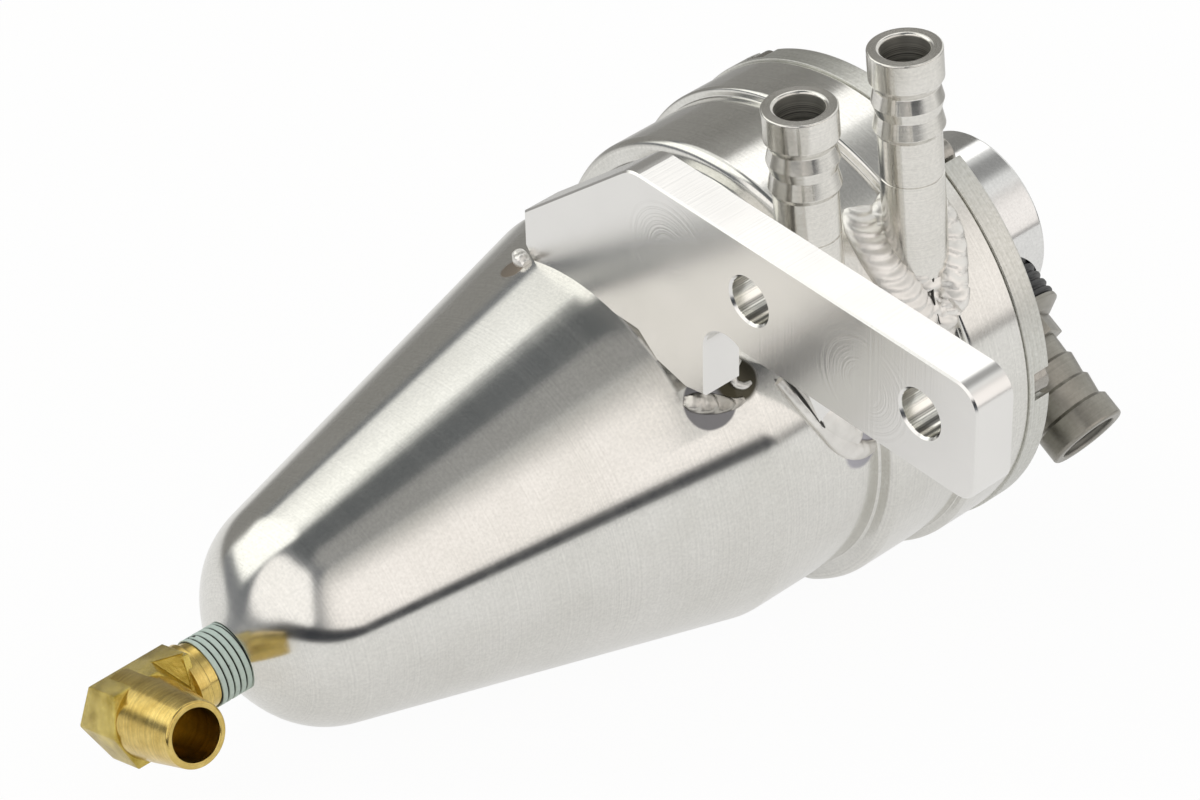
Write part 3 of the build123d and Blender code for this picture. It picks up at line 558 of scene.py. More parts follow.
def pasteFinish(name, base, groove, fleckAndValleyShade, roughness, centre=None, axis=None, valley=0.0):
    # Dried paste: dull, with a fine grain and a few darker flecks, and for a thread painted shade in its
    # valleys
    material, add, place = newMaterial(name)
    grain = add("TexNoise", {"Vector": place, "Scale": 900.0, "Detail": 6.0})
    blot = add("TexNoise", {"Vector": place, "Scale": 420.0, "Detail": 2.0})
    mask = add("MapRange", {"Value": blot, "From Min": 0.66, "From Max": 0.7})
    colour = add("Mix.RGBA", {"Factor": grain, 6: base, 7: groove})
    colour = add("Mix.RGBA", {"Factor": mask, 6: colour, 7: fleckAndValleyShade})
    if centre is not None:
        # Painted shade: the thread is coloured dark in its valleys, where shade falls
        away = add("VectorMath.SUBTRACT", {0: place, 1: Vector(centre) * millimetre})
        around = add("VectorMath.CROSS_PRODUCT", {0: Vector(axis).normalized(), 1: away})
        out = add("VectorMath.LENGTH", {0: around})
        valleyShade = add("MapRange", {"Value": out, "From Min": (valley + 0.1) * millimetre,
            "From Max": (valley - 0.1) * millimetre})
        colour = add("Mix.RGBA", {"Factor": valleyShade, 6: colour, 7: fleckAndValleyShade})
    bump = add("Bump", {"Height": grain, "Strength": 0.4, "Distance": 0.0001})
    skin = add("BsdfPrincipled", {"Base Color": colour, "Roughness": roughness, "Normal": bump})
    add("OutputMaterial", {"Surface": skin})
    return material


# Black paste, dried to a dull rubbery skin
blackPaste = pasteFinish("blackSealant", "#1d1e20", "#2a2b2d", "#3b3c3e", 0.45)

finished(threadSleeve("outletSealant", portPlace, o["threadFoot"], o["crestLevel"], o["threadStart"],
    o["threadEnd"], o["pitch"], o["crestShare"]), blackPaste, "black_sealant", "outlet_sealant")

# Drain elbow: forged brass block with a turned outlet and a threaded stem
elbow = {"depth": 185.3, "angle": -20.86, "blockTop": 11.0, "blockFoot": 8.6, "blockFace": 5.9,
    "halfWidth": 7.6, "front": 5.5, "back": 6.6, "backFace": 3.4, "ringRadius": 7.3, "ringLength": 1.5,
    "neckRadius": 6.6, "threadRoot": 6.55, "threadFoot": 6.4, "threadCrest": 6.95, "pitch": 1.41,
    "threadLength": 14.6, "threadTop": 156.3, "outletLength": 20.0, "outletBase": 7.84, "outletEnd": 6.3,
    "bore": 5.05, "stemBore": 4.2, "facet": [(1.0, -7.6, 5.6), (4.2, -7.6, 10.4), (5.5, -1.2, 9.2)],
    "facetDepth": 0.5, "blockBevel": 0.5, "sealantLow": 14.4, "sealantHigh": 29.0, "crestShare": 0.62}
elbowCentre = canCentre - up * elbow["depth"]
elbowWay = headingAt(elbow["angle"])
elbowUp = frameAlong(elbowCentre, up, elbowWay)
elbowOut = frameAlong(elbowCentre, elbowWay)


def prism(name, outline, low, high, place):
    count = len(outline)
    corners = [(x, y, low) for x, y in outline] + [(x, y, high) for x, y in outline]
    faces = [tuple(range(count))[::-1], tuple(range(count, 2 * count))]
    for index in range(count):
        after = (index + 1) % count
        faces.append((index, after, count + after, count + index))
    piece = meshPiece(name, corners, faces)
    piece.data.transform(place)
    return tidyMesh(piece, 20)


def buildElbowBlock():
    e = elbow
    w = e["halfWidth"]
    plan = prism("block", [(e["front"], -w), (e["front"], w), (-e["backFace"], w), (-e["back"], 0),
        (-e["backFace"], -w)], -e["blockFoot"], e["blockTop"], elbowUp)
    side = prism("side", [(-e["blockFoot"], 0), (-e["blockFace"], w), (e["blockTop"], w),
        (e["blockTop"], -w), (-e["blockFace"], -w)], -e["back"] - 1, e["front"] + 1, elbowOut)
    cut(plan, side, operation="INTERSECT", sharpAngle=20)
    # Sunk three-cornered facet of the forging, between the block's edge and the stem
    first, second, third = [elbowUp @ Vector(corner) / millimetre for corner in e["facet"]]
    along = second - first
    facing = (third - first).cross(along).normalized()
    across = (third - first) - along * (third - first).dot(along) / along.length_squared
    facetPlace = frameAlong(first, facing, along)
    sideways = across.length if across.dot(facing.cross(along)) > 0 else -across.length
    facet = prism("facet", [(0, 0), (along.length, 0),
        ((third - first).dot(along) / along.length, sideways)], -e["facetDepth"], 9.0, facetPlace)
    cut(plan, facet, sharpAngle=20)
    soft = plan.modifiers.new("soft", "BEVEL")
    soft.width = elbow["blockBevel"] * millimetre
    soft.segments = 3
    soft.limit_method = "ANGLE"
    soft.angle_limit = math.radians(15)
    tidyMesh(plainMesh(plan), 40)
    cut(plan, cylinder("bore", e["bore"], -2.5, 30, elbowOut, 64),
        cylinder("bore", e["stemBore"], 0, 30, elbowUp, 64), sharpAngle=40)
    return plan


def buildElbowTube():
    e = elbow
    outline = roundedOutline([
        (e["bore"], -2.0), (e["outletBase"], -2.0), (e["outletBase"], e["front"]),
        (e["outletEnd"], e["outletLength"], 0.5), (e["bore"], e["outletLength"], 0.25)], 5)
    return turned("elbowTube", outline + [outline[0]], elbowOut, 128)


def buildElbowStem():
    e = elbow
    low = e["blockTop"] - 1.0
    neckTop = e["depth"] - e["threadTop"] - e["threadLength"]
    outline = roundedOutline([
        (e["stemBore"], low), (e["ringRadius"], low),
        (e["ringRadius"], e["blockTop"] + e["ringLength"], 0.5),
        (e["neckRadius"], e["blockTop"] + e["ringLength"], 0.1), (e["neckRadius"], neckTop),
        (e["threadRoot"] - 0.3, neckTop), (e["threadRoot"] - 0.3, e["depth"] - e["threadTop"]),
        (e["stemBore"], e["depth"] - e["threadTop"])], 4)
    return turned("elbowStem", outline + [outline[0]], elbowUp, 96)


def forgedBrass():
    # Forging leaves a dull, slightly pitted skin with an olive cast
    material, add, place = newMaterial("forgedBrass")
    pits = add("TexNoise", {"Vector": place, "Scale": 1600.0, "Detail": 6.0, "Roughness": 0.7})
    tone = add("TexNoise", {"Vector": place, "Scale": 220.0, "Detail": 4.0})
    tone = add("MapRange", {"Value": tone, "From Min": 0.35, "From Max": 0.65})
    colour = add("Mix.RGBA", {"Factor": tone, 6: "#ad9744", 7: "#dcc771"})
    bump = add("Bump", {"Height": pits, "Strength": 0.7, "Distance": 0.0003})
    skin = add("BsdfPrincipled", {"Base Color": colour, "Metallic": 1.0, "Roughness": 0.22, "Normal": bump})
    add("OutputMaterial", {"Surface": skin})
    return material


# Pale green paste, chalky, with painted shade in the thread's valleys
mintPaste = pasteFinish("mintSealant", "#c9d8d1", "#b6c8c0", "#262821", 0.6, elbowCentre, up, 6.76)
turnedBrass = turnedMetal("turnedBrass", turnedLooks["brassTube"], elbowCentre, elbowWay)
stemBrass = turnedMetal("stemBrass", turnedLooks["brassTube"], elbowCentre, up)
finished(buildElbowBlock(), forgedBrass(), "brass", "drain_elbow")
finished(buildElbowTube(), turnedBrass, "brass")
finished(buildElbowStem(), stemBrass, "brass")
finished(threadSleeve("drainSealant", elbowUp, elbow["threadFoot"], elbow["threadCrest"],
    elbow["sealantLow"], elbow["sealantHigh"], elbow["pitch"], elbow["crestShare"], 96, 16), mintPaste,
    "green_sealant", "drain_sealant")
print("fittings made")

# Screws of the lid, set round it by Geometry Nodes
screw = {"headRadius": 3.5, "headHeight": 4.0, "rounding": 0.35, "shankRadius": 2.0, "shankLength": 6.0,
    "keyRadius": 1.73, "keyDepth": 2.0}


def buildScrew():
    s = screw
    head = turned("screwHead", roundedOutline([
        (0, s["headHeight"] - 0.01), (s["headRadius"], s["headHeight"], s["rounding"]),
        (s["headRadius"], 0, 0.1), (s["shankRadius"], 0), (s["shankRadius"], -s["shankLength"]),
        (0, -s["shankLength"])], 4), Matrix.Identity(4), 48)
    key = cylinder("key", s["keyRadius"], s["headHeight"] - s["keyDepth"], s["headHeight"] + 1,
        Matrix.Identity(4), 6)
    return cut(head, key)


def makeScrewRingTree():
    tree, add, given = newGeometryTree("screwRing", {
        "Screw": "Geometry", "Count": "Int", "Pitch radius": "Float", "First turn": "Float",
        "Finish": "Material"}, "Screws")
    ring = add("GeometryNodeMeshCircle", {"Vertices": given["Count"], "Radius": given["Pitch radius"]})
    turn = add("CombineXYZ", {"Z": given["First turn"]})
    ring = add("GeometryNodeTransform", {"Geometry": ring, "Rotation": turn})
    spread = add("FunctionNodeRandomValue.FLOAT", {2: 0.0, 3: 1.0, "Seed": 4})
    twist = add("CombineXYZ", {"Z": spread})
    placed = add("GeometryNodeInstanceOnPoints",
        {"Points": ring, "Instance": given["Screw"], "Rotation": twist})
    endGeometry(add, placed, given["Finish"])
    return tree


# Plain metals for small steel parts and for the parts inside the can
def plainMetal(name, first, second, roughness, scale, dents=0.1):
    material, add, place = newMaterial(name)
    patch = add("TexNoise", {"Vector": place, "Scale": scale, "Detail": 5.0, "Roughness": 0.6})
    colour = add("Mix.RGBA", {"Factor": patch, 6: first, 7: second})
    rough = add("MapRange", {"Value": patch, "To Min": roughness - 0.08, "To Max": roughness + 0.08})
    bump = add("Bump", {"Height": patch, "Strength": dents, "Distance": 0.0002})
    skin = add("BsdfPrincipled", {"Base Color": colour, "Metallic": 1.0, "Roughness": rough,
        "Normal": bump})
    add("OutputMaterial", {"Surface": skin})
    return material


# Plated steel, bare inner aluminium and plain rod steel
screwSteel = plainMetal("screwSteel", "#b9b6b0", "#8f8c86", 0.25, 900.0)
innerAluminium = plainMetal("innerAluminium", "#d6d4d0", "#bcbab6", 0.3, 300.0)
rodSteel = plainMetal("rodSteel", "#a8a6a2", "#8c8a86", 0.3, 500.0)
screws = buildScrew()
screwTree = makeScrewRingTree()
ringStep = screws.modifiers.new("ring", "NODES")
ringStep.node_group = screwTree
ids = socketIds(screwTree)
ringStep[ids["Count"]] = lid["screwCount"]
ringStep[ids["Pitch radius"]] = lid["screwPitch"]
ringStep[ids["First turn"]] = math.radians(lid["screwTurn"])
ringStep[ids["Finish"]] = screwSteel
plainMesh(screws)
screws.name = "lidScrews"
screws.data.transform(frameAlong(canCentre - up * lid["seatDepth"], up, (1, 0, 0)))
finished(tidyMesh(screws), screwSteel, "steel", "lid_screws")
print("screws set")

# Weld beads: a flat swell along a path, with a crescent ripple for every dip of the rod
beadKeys = ("Half width", "Height", "Pitch", "Ripple", "Bow", "Wander", "Seed")


def makeBeadTree():
    tree, add, given = newGeometryTree("weldBead", {
        "Path": "Geometry", **dict.fromkeys(beadKeys, "Float"), "Finish": "Material"}, "Bead")
    line = add("GeometryNodeMeshToCurve", {0: given["Path"]})
    line = add("GeometryNodeResampleCurve", {"Curve": line, "Length": 0.16}, mode="LENGTH")
    raised = add("GeometryNodeInputNamedAttribute.FLOAT_VECTOR", {"Name": "raised"})
    size = add("GeometryNodeInputNamedAttribute.FLOAT", {"Name": "size"})
    line = add("GeometryNodeSetCurveNormal", {"Curve": line, "Normal": raised}, mode="FREE")
    run = add("GeometryNodeSplineParameter", output="Length")
    line = add("GeometryNodeStoreNamedAttribute.FLOAT", {"Geometry": line, "Name": "run", "Value": run})
    ring = add("GeometryNodeCurvePrimitiveCircle", {"Resolution": 40, "Radius": 1.0})
    spot = add("GeometryNodeInputPosition")
    ring = add("GeometryNodeStoreNamedAttribute.FLOAT_VECTOR",
        {"Geometry": ring, "Name": "section", "Value": spot})
    form = add("CombineXYZ", {0: given["Height"], 1: given["Half width"], 2: 1.0})
    ring = add("GeometryNodeTransform", {"Geometry": ring, "Scale": form})
    swept = add("GeometryNodeCurveToMesh", {"Curve": line, "Profile Curve": ring, "Scale": size,
        "Fill Caps": True})
    section = add("GeometryNodeInputNamedAttribute.FLOAT_VECTOR", {"Name": "section"})
    section = add("SeparateXYZ", {0: section}).node.outputs
    run = add("GeometryNodeInputNamedAttribute.FLOAT", {"Name": "run"})
    bend = add("Math.MULTIPLY", {0: section[1], 1: section[1]})
    bend = add("Math.SUBTRACT", {0: 1.0, 1: bend})
    place = add("Math.MULTIPLY_ADD", {0: bend, 1: given["Bow"], 2: run})
    drift = add("TexNoise", {"Vector": spot, "W": given["Seed"], "Scale": 0.45, "Detail": 2.0},
        noise_dimensions="4D")
    place = add("Math.MULTIPLY_ADD", {0: drift, 1: given["Wander"], 2: place})
    phase = add("Math.DIVIDE", {0: place, 1: given["Pitch"]})
    phase = add("Math.FRACT", {0: phase})
    # Each ripple climbs slowly and falls off quickly, as one drop laps the one before
    climb = add("MapRange", {"Value": phase, "From Min": 0.0, "From Max": 0.62},
        interpolation_type="SMOOTHSTEP")
    fall = add("MapRange", {"Value": phase, "From Min": 1.0, "From Max": 0.7},
        interpolation_type="SMOOTHSTEP")
    ripple = add("Math.MULTIPLY", {0: climb, 1: fall})
    upper = add("MapRange", {"Value": section[0], "From Min": 0.1, "From Max": 0.7})
    amount = add("Math.MULTIPLY", {0: ripple, 1: upper})
    amount = add("Math.MULTIPLY", {0: amount, 1: given["Ripple"]})
    lift = add("VectorMath.SCALE", {0: raised, "Scale": amount})
    moved = add("GeometryNodeSetPosition", {"Geometry": swept, "Offset": lift})
    endGeometry(add, moved, given["Finish"])
    return tree


beadTree = makeBeadTree()


def weldMetal(name, first, second, roughness):
    # Cast-looking aluminium from the weld pool: bright silver with a milky, uneven skin
    material, add, place = newMaterial(name)
    skinNoise = add("TexNoise", {"Vector": place, "Scale": 700.0, "Detail": 6.0, "Roughness": 0.6})
    cloud = add("TexNoise", {"Vector": place, "Scale": 160.0, "Detail": 3.0})
    cloud = add("MapRange", {"Value": cloud, "From Min": 0.35, "From Max": 0.65})
    colour = add("Mix.RGBA", {"Factor": cloud, 6: first, 7: second})
    rough = add("MapRange", {"Value": skinNoise, "To Min": roughness - 0.1, "To Max": roughness + 0.12})
    bump = add("Bump", {"Height": skinNoise, "Strength": 0.25, "Distance": 0.0003})
    skin = add("BsdfPrincipled", {"Base Color": colour, "Metallic": 1.0, "Roughness": rough,
        "Normal": bump})
    add("OutputMaterial", {"Surface": skin})
    return material


# Weld pools left bright and milky, and a greyer one beside the notch
weldSkin = weldMetal("weldAluminium", "#efede9", "#e0deda", 0.4)
weldGrey = weldMetal("weldGrey", "#cfccc6", "#a19e96", 0.34)


def smoothRun(points, count=10):
    # Even points along a smooth line through a few given ones, in any number of dimensions
    points = [np.array(p, float) for p in points]
    padded = [2 * points[0] - points[1], *points, 2 * points[-1] - points[-2]]
    run = []
    for index in range(1, len(padded) - 2):
        a, b, c, d = padded[index - 1:index + 3]
        for step in range(count):
            t = step / count
            run.append(0.5 * (2 * b + (c - a) * t + (2 * a - 5 * b + 4 * c - d) * t * t + (
                3 * b - a - 3 * c + d) * t ** 3))
    run.append(points[-1])
    return run


def weldBead(name, points, raised, sizes, look):
    # A bead over points in millimetres, with the way out of the metal and the size at each
    path = meshPiece(name, points, [], [(i, i + 1) for i in range(len(points) - 1)])
    layer = path.data.attributes.new("raised", "FLOAT_VECTOR", "POINT")
    layer.data.foreach_set("vector", np.array(raised, np.float32).ravel())
    layer = path.data.attributes.new("size", "FLOAT", "POINT")
    layer.data.foreach_set("value", np.array(sizes, np.float32))
    step = path.modifiers.new("bead", "NODES")
    step.node_group = beadTree
    names = socketIds(beadTree)
    for key, value in look.items():
        step[names[key]] = value
    step[names["Finish"]] = weldSkin
    plainMesh(path)
    path.data.transform(Matrix.Scale(millimetre, 4))
    return path


def skinBead(name, path, look):
    # Path over the vessel's skin as (angle, depth, size, lift off the skin)
    run = smoothRun(path)
    points = []
    raised = []
    for angle, depth, _, lift in run:
        outward = headingAt(-angle)
        slope = (skinRadius(depth - 1.5) - skinRadius(depth + 1.5)) / 3
        points.append(canCentre + outward * (skinRadius(depth) + lift) - up * depth)
        raised.append((outward - up * min(max(slope, 0.0), 0.6)).normalized())
    return weldBead(name, points, raised, [p[2] for p in run], look)


def skinRadius(depth):
    v = vessel
    if depth < v["rimDepth"]:
        return v["rimRadius"]
    if depth < v["shoulderDepth"]:
        return v["shoulderRadius"]
    if depth < v["barrelDepth"]:
        return v["barrelRadius"]
    fall = (v["barrelRadius"] - v["coneEndRadius"]) / (v["coneDepth"] - v["barrelDepth"])
    return v["barrelRadius"] - fall * (depth - v["barrelDepth"])


def footPath(level, standOff, start, end, count):
    # Points round the foot of a barb where it meets the vessel, standOff out from the tube
    points = []
    raised = []
    depth = inlets["depths"][level]
    ring = inlets["shankRadius"] + standOff
    for index in range(count):
        turn = math.radians(start + (end - start) * index / (count - 1))
        side = inlets["offset"] + ring * math.sin(turn)
        height = ring * math.cos(turn)
        radius = 0
        for share in (-1.5, -0.75, 0, 0.75, 1.5):
            radius += skinRadius(depth - height + share) / 5
        reach = math.sqrt(max(radius ** 2 - side ** 2, 1.0))
        spot = canCentre - up * (depth - height) + inletSide * side + inletWay * reach
        outward = (inletSide * side + inletWay * reach).normalized()
        fromTube = inletSide * math.sin(turn) + up * math.cos(turn)
        points.append(spot + outward * 0.2)
        raised.append((outward + 0.35 * fromTube).normalized())
    return points, raised


beadLooks = {name: dict(zip(beadKeys, values)) for name, values in {
    "ring": (2.1, 1.4, 2.0, 0.2, 0.9, 1.2, 1.0),
    "wide": (4.6, 1.8, 2.3, 0.26, -2.9, 0.5, 3.0),
    "lumpy": (3.2, 1.5, 3.1, 0.42, -1.4, 2.4, 5.0),
    "blob": (1.9, 1.0, 3.4, 0.5, -1.5, 3.0, 7.0),
    "toe": (1.6, 1.5, 2.6, 0.4, -0.8, 2.0, 2.0),
    "leg": (2.5, 1.3, 2.6, 0.07, -0.8, 2.5, 9.0),
    "seam": (0.24, 0.25, 2.4, 0.1, 0.0, 2.0, 4.0),
    "fold": (0.85, 0.8, 3.0, 0.2, 0.0, 2.0, 6.0),
}.items()}
# Each path point is (angle, depth, size, lift off the skin)
upperBeads = {
    "leftBead": ("wide", [
        (63.0, 25.0, 0.7, -0.5), (59.0, 26.3, 0.95, -0.1), (54.0, 27.0, 1.0, 0.1), (48.8, 27.2, 1.0, 0.2),
        (43.7, 26.6, 1.0, 0.2), (38.7, 25.7, 0.97, 0.1), (33.6, 25.0, 0.9, -0.1), (29.0, 24.8, 0.7, -0.5)]),
    "rightBead": ("lumpy", [
        (56.0, 10.6, 0.75, -0.4), (50.0, 11.4, 0.9, 0.0), (45.5, 13.0, 1.0, 0.2), (41.2, 15.0, 1.0, 0.2),
        (36.6, 17.6, 1.05, 0.2), (32.6, 19.8, 1.0, 0.1), (29.0, 21.4, 0.85, -0.2),
        (25.6, 22.6, 0.5, -0.5)]),
    "footBead": ("lumpy", [
        (48.0, 23.2, 0.7, 0.0), (44.4, 21.9, 0.95, 0.6), (41.0, 20.6, 1.0, 0.8), (38.0, 20.2, 0.9, 0.5),
        (35.0, 21.2, 0.6, 0.0)]),
}
for level, standOff in (("upper", 1.2), ("lower", 1.4)):
    points, raised = footPath(level, standOff, 20, 380, 121)
    beads = [weldBead("ring", points, raised, [1.0] * len(points), beadLooks["ring"])]
    if level == "upper":
        beads += [skinBead(name, path, beadLooks[look]) for name, (look, path) in upperBeads.items()]
    finished(tidyMesh(joined(f"inletWeld.{level}", *beads), 40), weldSkin, "weld_metal",
        f"inlet_{level}_weld")

coneWelds = {
    "toe": ("toe", [
        (114.6, 76.4, 0.7, 0.0), (113.0, 77.4, 1.0, 0.3), (110.8, 78.2, 1.0, 0.3),
        (108.6, 78.4, 0.6, -0.2)]),
    "lobe": ("blob", [
        (45.0, 76.6, 0.5, -0.2), (43.6, 75.4, 0.95, 0.0), (41.8, 73.4, 1.1, 0.1), (39.8, 71.0, 0.95, 0.1),
        (38.2, 68.4, 0.6, 0.0), (38.0, 66.4, 0.35, -0.1)]),
    "leg": ("leg", [
        (38.0, 57.2, 0.7, 0.2), (33.0, 55.4, 0.95, 0.4), (28.0, 53.8, 1.0, 0.5), (22.0, 51.6, 1.0, 0.5),
        (16.0, 49.4, 0.95, 0.4), (11.6, 46.8, 0.85, 0.3), (9.4, 43.8, 0.75, 0.2), (8.6, 40.8, 0.5, 0.0)]),
}
legFill = [
    (38.0, 55.8, 0.7, 0.6), (32.6, 54.2, 1.0, 1.1), (27.2, 52.2, 1.1, 1.3), (21.6, 49.8, 1.1, 1.1),
    (17.4, 47.6, 1.0, 0.7), (13.4, 45.2, 0.8, 0.2)]
for name, (look, path) in coneWelds.items():
    bead = skinBead(f"bracketWeld.{name}", path, beadLooks[look])
    if name == "leg":
        bead = joined("bracketWeld.leg", bead, skinBead("legFill", legFill, beadLooks["leg"]))
    skin = weldGrey if name == "lobe" else weldSkin
    finished(tidyMesh(bead, 40), skin, "weld_metal", f"bracket_{name}_weld")

# Painted shade: dark strips laid in the open seams, where shade falls, and the fold of metal inside the
# bracket's notch
seamShade = pasteFinish("seamShade", "#2c2a24", "#1c1b18", "#3a372d", 0.4)
seams = {
    "legSeam": ("seam", seamShade, [
        (38.2, 57.6, 0.6, 1.5), (34.5, 56.9, 1.1, 1.95), (30.9, 56.0, 1.3, 2.05), (27.1, 54.9, 0.9, 2.05),
        (24.4, 54.0, 1.2, 2.0), (22.1, 53.2, 0.5, 1.8)]),
    "footSeam": ("seam", seamShade, [
        (43.4, 19.0, 0.9, 2.0), (41.6, 20.4, 1.3, 2.2), (39.4, 21.6, 0.8, 2.0), (37.0, 22.4, 1.2, 1.6),
        (34.0, 22.7, 0.7, 1.3), (31.0, 22.8, 0.5, 1.1)]),
    "notchFold": ("fold", weldSkin, [
        (47.0, 64.0, 0.6, 0.6), (45.4, 66.0, 0.9, 0.5), (43.0, 66.8, 1.0, 0.3), (41.0, 65.6, 0.9, 0.2),
        (40.8, 63.8, 0.5, 0.1)]),
}
for name, (look, skin, path) in seams.items():
    finished(tidyMesh(skinBead(name, path, beadLooks[look]), 40), skin, "weld_metal")
print("welds laid")


# Bracket: milled, with the cutter's arcs faintly showing on its faces
milledArcs = [((-42.4, 1.1, 0.0), 15.0), ((8.0, 2.0, 0.0), 15.0)]
boltHole = {"side": 21.55, "wallRadius": 4.82}


def milledMetal():
    # Bare milled aluminium, bright and smooth, with painted reflection streaks down its drilled holes
    material, add, place = newMaterial("milledAluminium")
    across = add("SeparateXYZ", {0: place})
    # Two sets of arcs where the cutter dwelt, over faint straight lines
    fine = add("TexNoise", {"W": across, "Scale": 1500.0, "Detail": 2.0}, noise_dimensions="1D")
    marks = add("Math.MULTIPLY", {0: fine, 1: 0.35})
    for centre, most in milledArcs:
        far = add("VectorMath.DISTANCE", {0: place, 1: Vector(centre) * millimetre})
        arcs = add("TexNoise", {"W": far, "Scale": 1400.0, "Detail": 2.0}, noise_dimensions="1D")
        near = add("MapRange", {"Value": far, "From Min": most * millimetre,
            "From Max": 0.6 * most * millimetre}, interpolation_type="SMOOTHSTEP")
        marks = add("Math.MULTIPLY_ADD", {0: arcs, 1: near, 2: marks})
    patch = add("TexNoise", {"Vector": place, "Scale": 60.0, "Detail": 4.0})
    colour = add("Mix.RGBA", {"Factor": patch, 6: "#ebeae8", 7: "#e3e2e0"})
    for side in (-1, 1):
        # Drilled walls: painted reflection, light and dark streaks that run down each hole
        hole = add("VectorMath.SUBTRACT", {0: place, 1: (side * boltHole["side"] * millimetre, 0.0, 0.0)})
        flat = add("VectorMath.MULTIPLY", {0: hole, 1: (1.0, 1.0, 0.0)})
        way = add("VectorMath.NORMALIZE", {0: flat})
        far = add("VectorMath.LENGTH", {0: flat})
        holeReflection = add("TexNoise", {"Vector": way, "Scale": 3.2, "Detail": 2.5, "Roughness": 0.7})
        holeReflection = add("MapRange", {"Value": holeReflection, "From Min": 0.42, "From Max": 0.56, "To Min": 0.14,
            "To Max": 1.0})
        holeReflection = add("VectorMath.SCALE", {0: (0.95, 0.94, 0.88), "Scale": holeReflection})
        within = add("Math.LESS_THAN", {0: far, 1: boltHole["wallRadius"] * millimetre})
        colour = add("Mix.RGBA", {"Factor": within, 6: colour, 7: holeReflection})
    rough = add("MapRange", {"Value": patch, "To Min": 0.17, "To Max": 0.25})
    bump = add("Bump", {"Height": marks, "Strength": 0.3, "Distance": 0.00006})
    skin = add("BsdfPrincipled", {"Base Color": colour, "Metallic": 1.0, "Roughness": rough,
        "Normal": bump})
    add("OutputMaterial", {"Surface": skin})
    return material


def dressNode(name, finish):
    node = cadNodes[name]
    node.data.materials.clear()
    node.data.materials.append(finish)


# Black rubber rings, dull
rubberSeal = pasteFinish("sealRubber", "#151515", "#1c1c1c", "#222222", 0.6)
dressNode("bracket", milledMetal())
for name in ("lid_seal", "hub_seal"):
    dressNode(name, rubberSeal)
for name in ("dip_tube", "filter_cap", "baffle_plate", "filter_mesh"):
    dressNode(name, innerAluminium)
for name in ("baffle_rod", "baffle_nuts"):
    dressNode(name, rodSteel)
print("bracket and inner parts dressed")

# Camera at the photograph's angle
camera = {
    "at": (438.3, -498.7, -431.4), "right": (0.6659, 0.0221, 0.7458),
    "up": (-0.4639, -0.7706, 0.437), "back": (0.5843, -0.6370, -0.5028), "lens": 135.0,
}
viewRight = Vector(camera["right"])
viewUp = Vector(camera["up"])
viewBack = Vector(camera["back"])
eyeData = bpy.data.cameras.new("photoCamera")
eyeData.lens = camera["lens"]
eyeData.sensor_width = 36.0
eyeData.clip_start = 0.05
eyeData.clip_end = 20.0
eye = bpy.data.objects.new("photoCamera", eyeData)
bpy.context.collection.objects.link(eye)
pose = Matrix((viewRight, viewUp, viewBack)).transposed().to_4x4()
pose.translation = Vector(camera["at"]) * millimetre
eye.matrix_world = pose
bpy.context.scene.camera = eye

# Floor: a white sheet under the can whose near edge shows as a dark line in the metal
floorUp = Vector((-0.100, -0.978, 0.182)).normalized()
floorFront = (viewBack - floorUp * viewBack.dot(floorUp)).normalized()
floorRight = floorUp.cross(floorFront)
floorLook = {
    "drop": 49.9, "edge": 212.0, "slant": 0.5, "reach": 2500.0, "seenGlow": 0.95, "mirrorGlow": 0.6,
    "dimFrom": 0.02, "dimTo": 0.55, "dimmest": 0.1, "darkestShade": 0.3, "paper": (0.96, 0.955, 0.94),
}
seenSpot = canCentre - up * 119.6 + headingAt(-24) * 30.0
floorBase = canCentre - floorUp * floorLook["drop"]


def onFloor(front, right):
    spot = seenSpot + floorFront * front + floorRight * right
    return (spot - floorUp * (spot - floorBase).dot(floorUp)) * millimetre


reach = floorLook["reach"]
edge = floorLook["edge"]
slant = floorLook["slant"]
floor = meshPiece("floorSheet", [
    onFloor(edge - reach * slant, -reach), onFloor(edge + reach * slant, reach),
    onFloor(-reach, reach), onFloor(-reach, -reach)], [(0, 1, 2, 3)])


def floorFinish():
    # White paper: it glows for the camera, its glow in the metal and its colour are painted dimmer far
    # behind the can as shade, and it is clear from below
    material, add, place = newMaterial("whiteSheet")
    rays = add("LightPath").node.outputs
    glow = add("Emission", {"Color": (1, 1, 1, 1), "Strength": 1.0})
    seen = add("Math.MULTIPLY", {0: rays["Is Camera Ray"], 1: floorLook["seenGlow"]})
    mirrored = add("Math.MULTIPLY", {0: rays["Is Glossy Ray"], 1: floorLook["mirrorGlow"]})
    behind = add("VectorMath.DOT_PRODUCT", {0: place, 1: -floorFront})
    start = -floorFront.dot(seenSpot) * millimetre
    # Painted shade: far behind the can the sheet's glow in the metal, and its colour for all but camera
    # rays, fall away
    dim = add("MapRange", {"Value": behind, "From Min": start + floorLook["dimFrom"],
        "From Max": start + floorLook["dimTo"], "To Min": 1.0, "To Max": floorLook["dimmest"]},
        interpolation_type="SMOOTHSTEP")
    mirrored = add("Math.MULTIPLY", {0: mirrored, 1: dim})
    share = add("Math.MAXIMUM", {0: seen, 1: mirrored})
    shadedPaper = add("MapRange", {"Value": dim, "To Min": floorLook["darkestShade"], "To Max": 1.0})
    paler = add("Math.MAXIMUM", {0: shadedPaper, 1: rays["Is Camera Ray"]})
    sheet = add("VectorMath.SCALE", {0: floorLook["paper"], "Scale": paler})
    paper = add("BsdfDiffuse", {"Color": sheet})
    share = add("Math.MAXIMUM", {0: share, 1: rays["Is Transmission Ray"]})
    mixed = add("MixShader", {0: share, 1: paper, 2: glow})
    clear = add("BsdfTransparent")
    below = add("NewGeometry", output="Backfacing")
    whole = add("MixShader", {0: below, 1: mixed, 2: clear})
    add("OutputMaterial", {"Surface": whole})
    return material


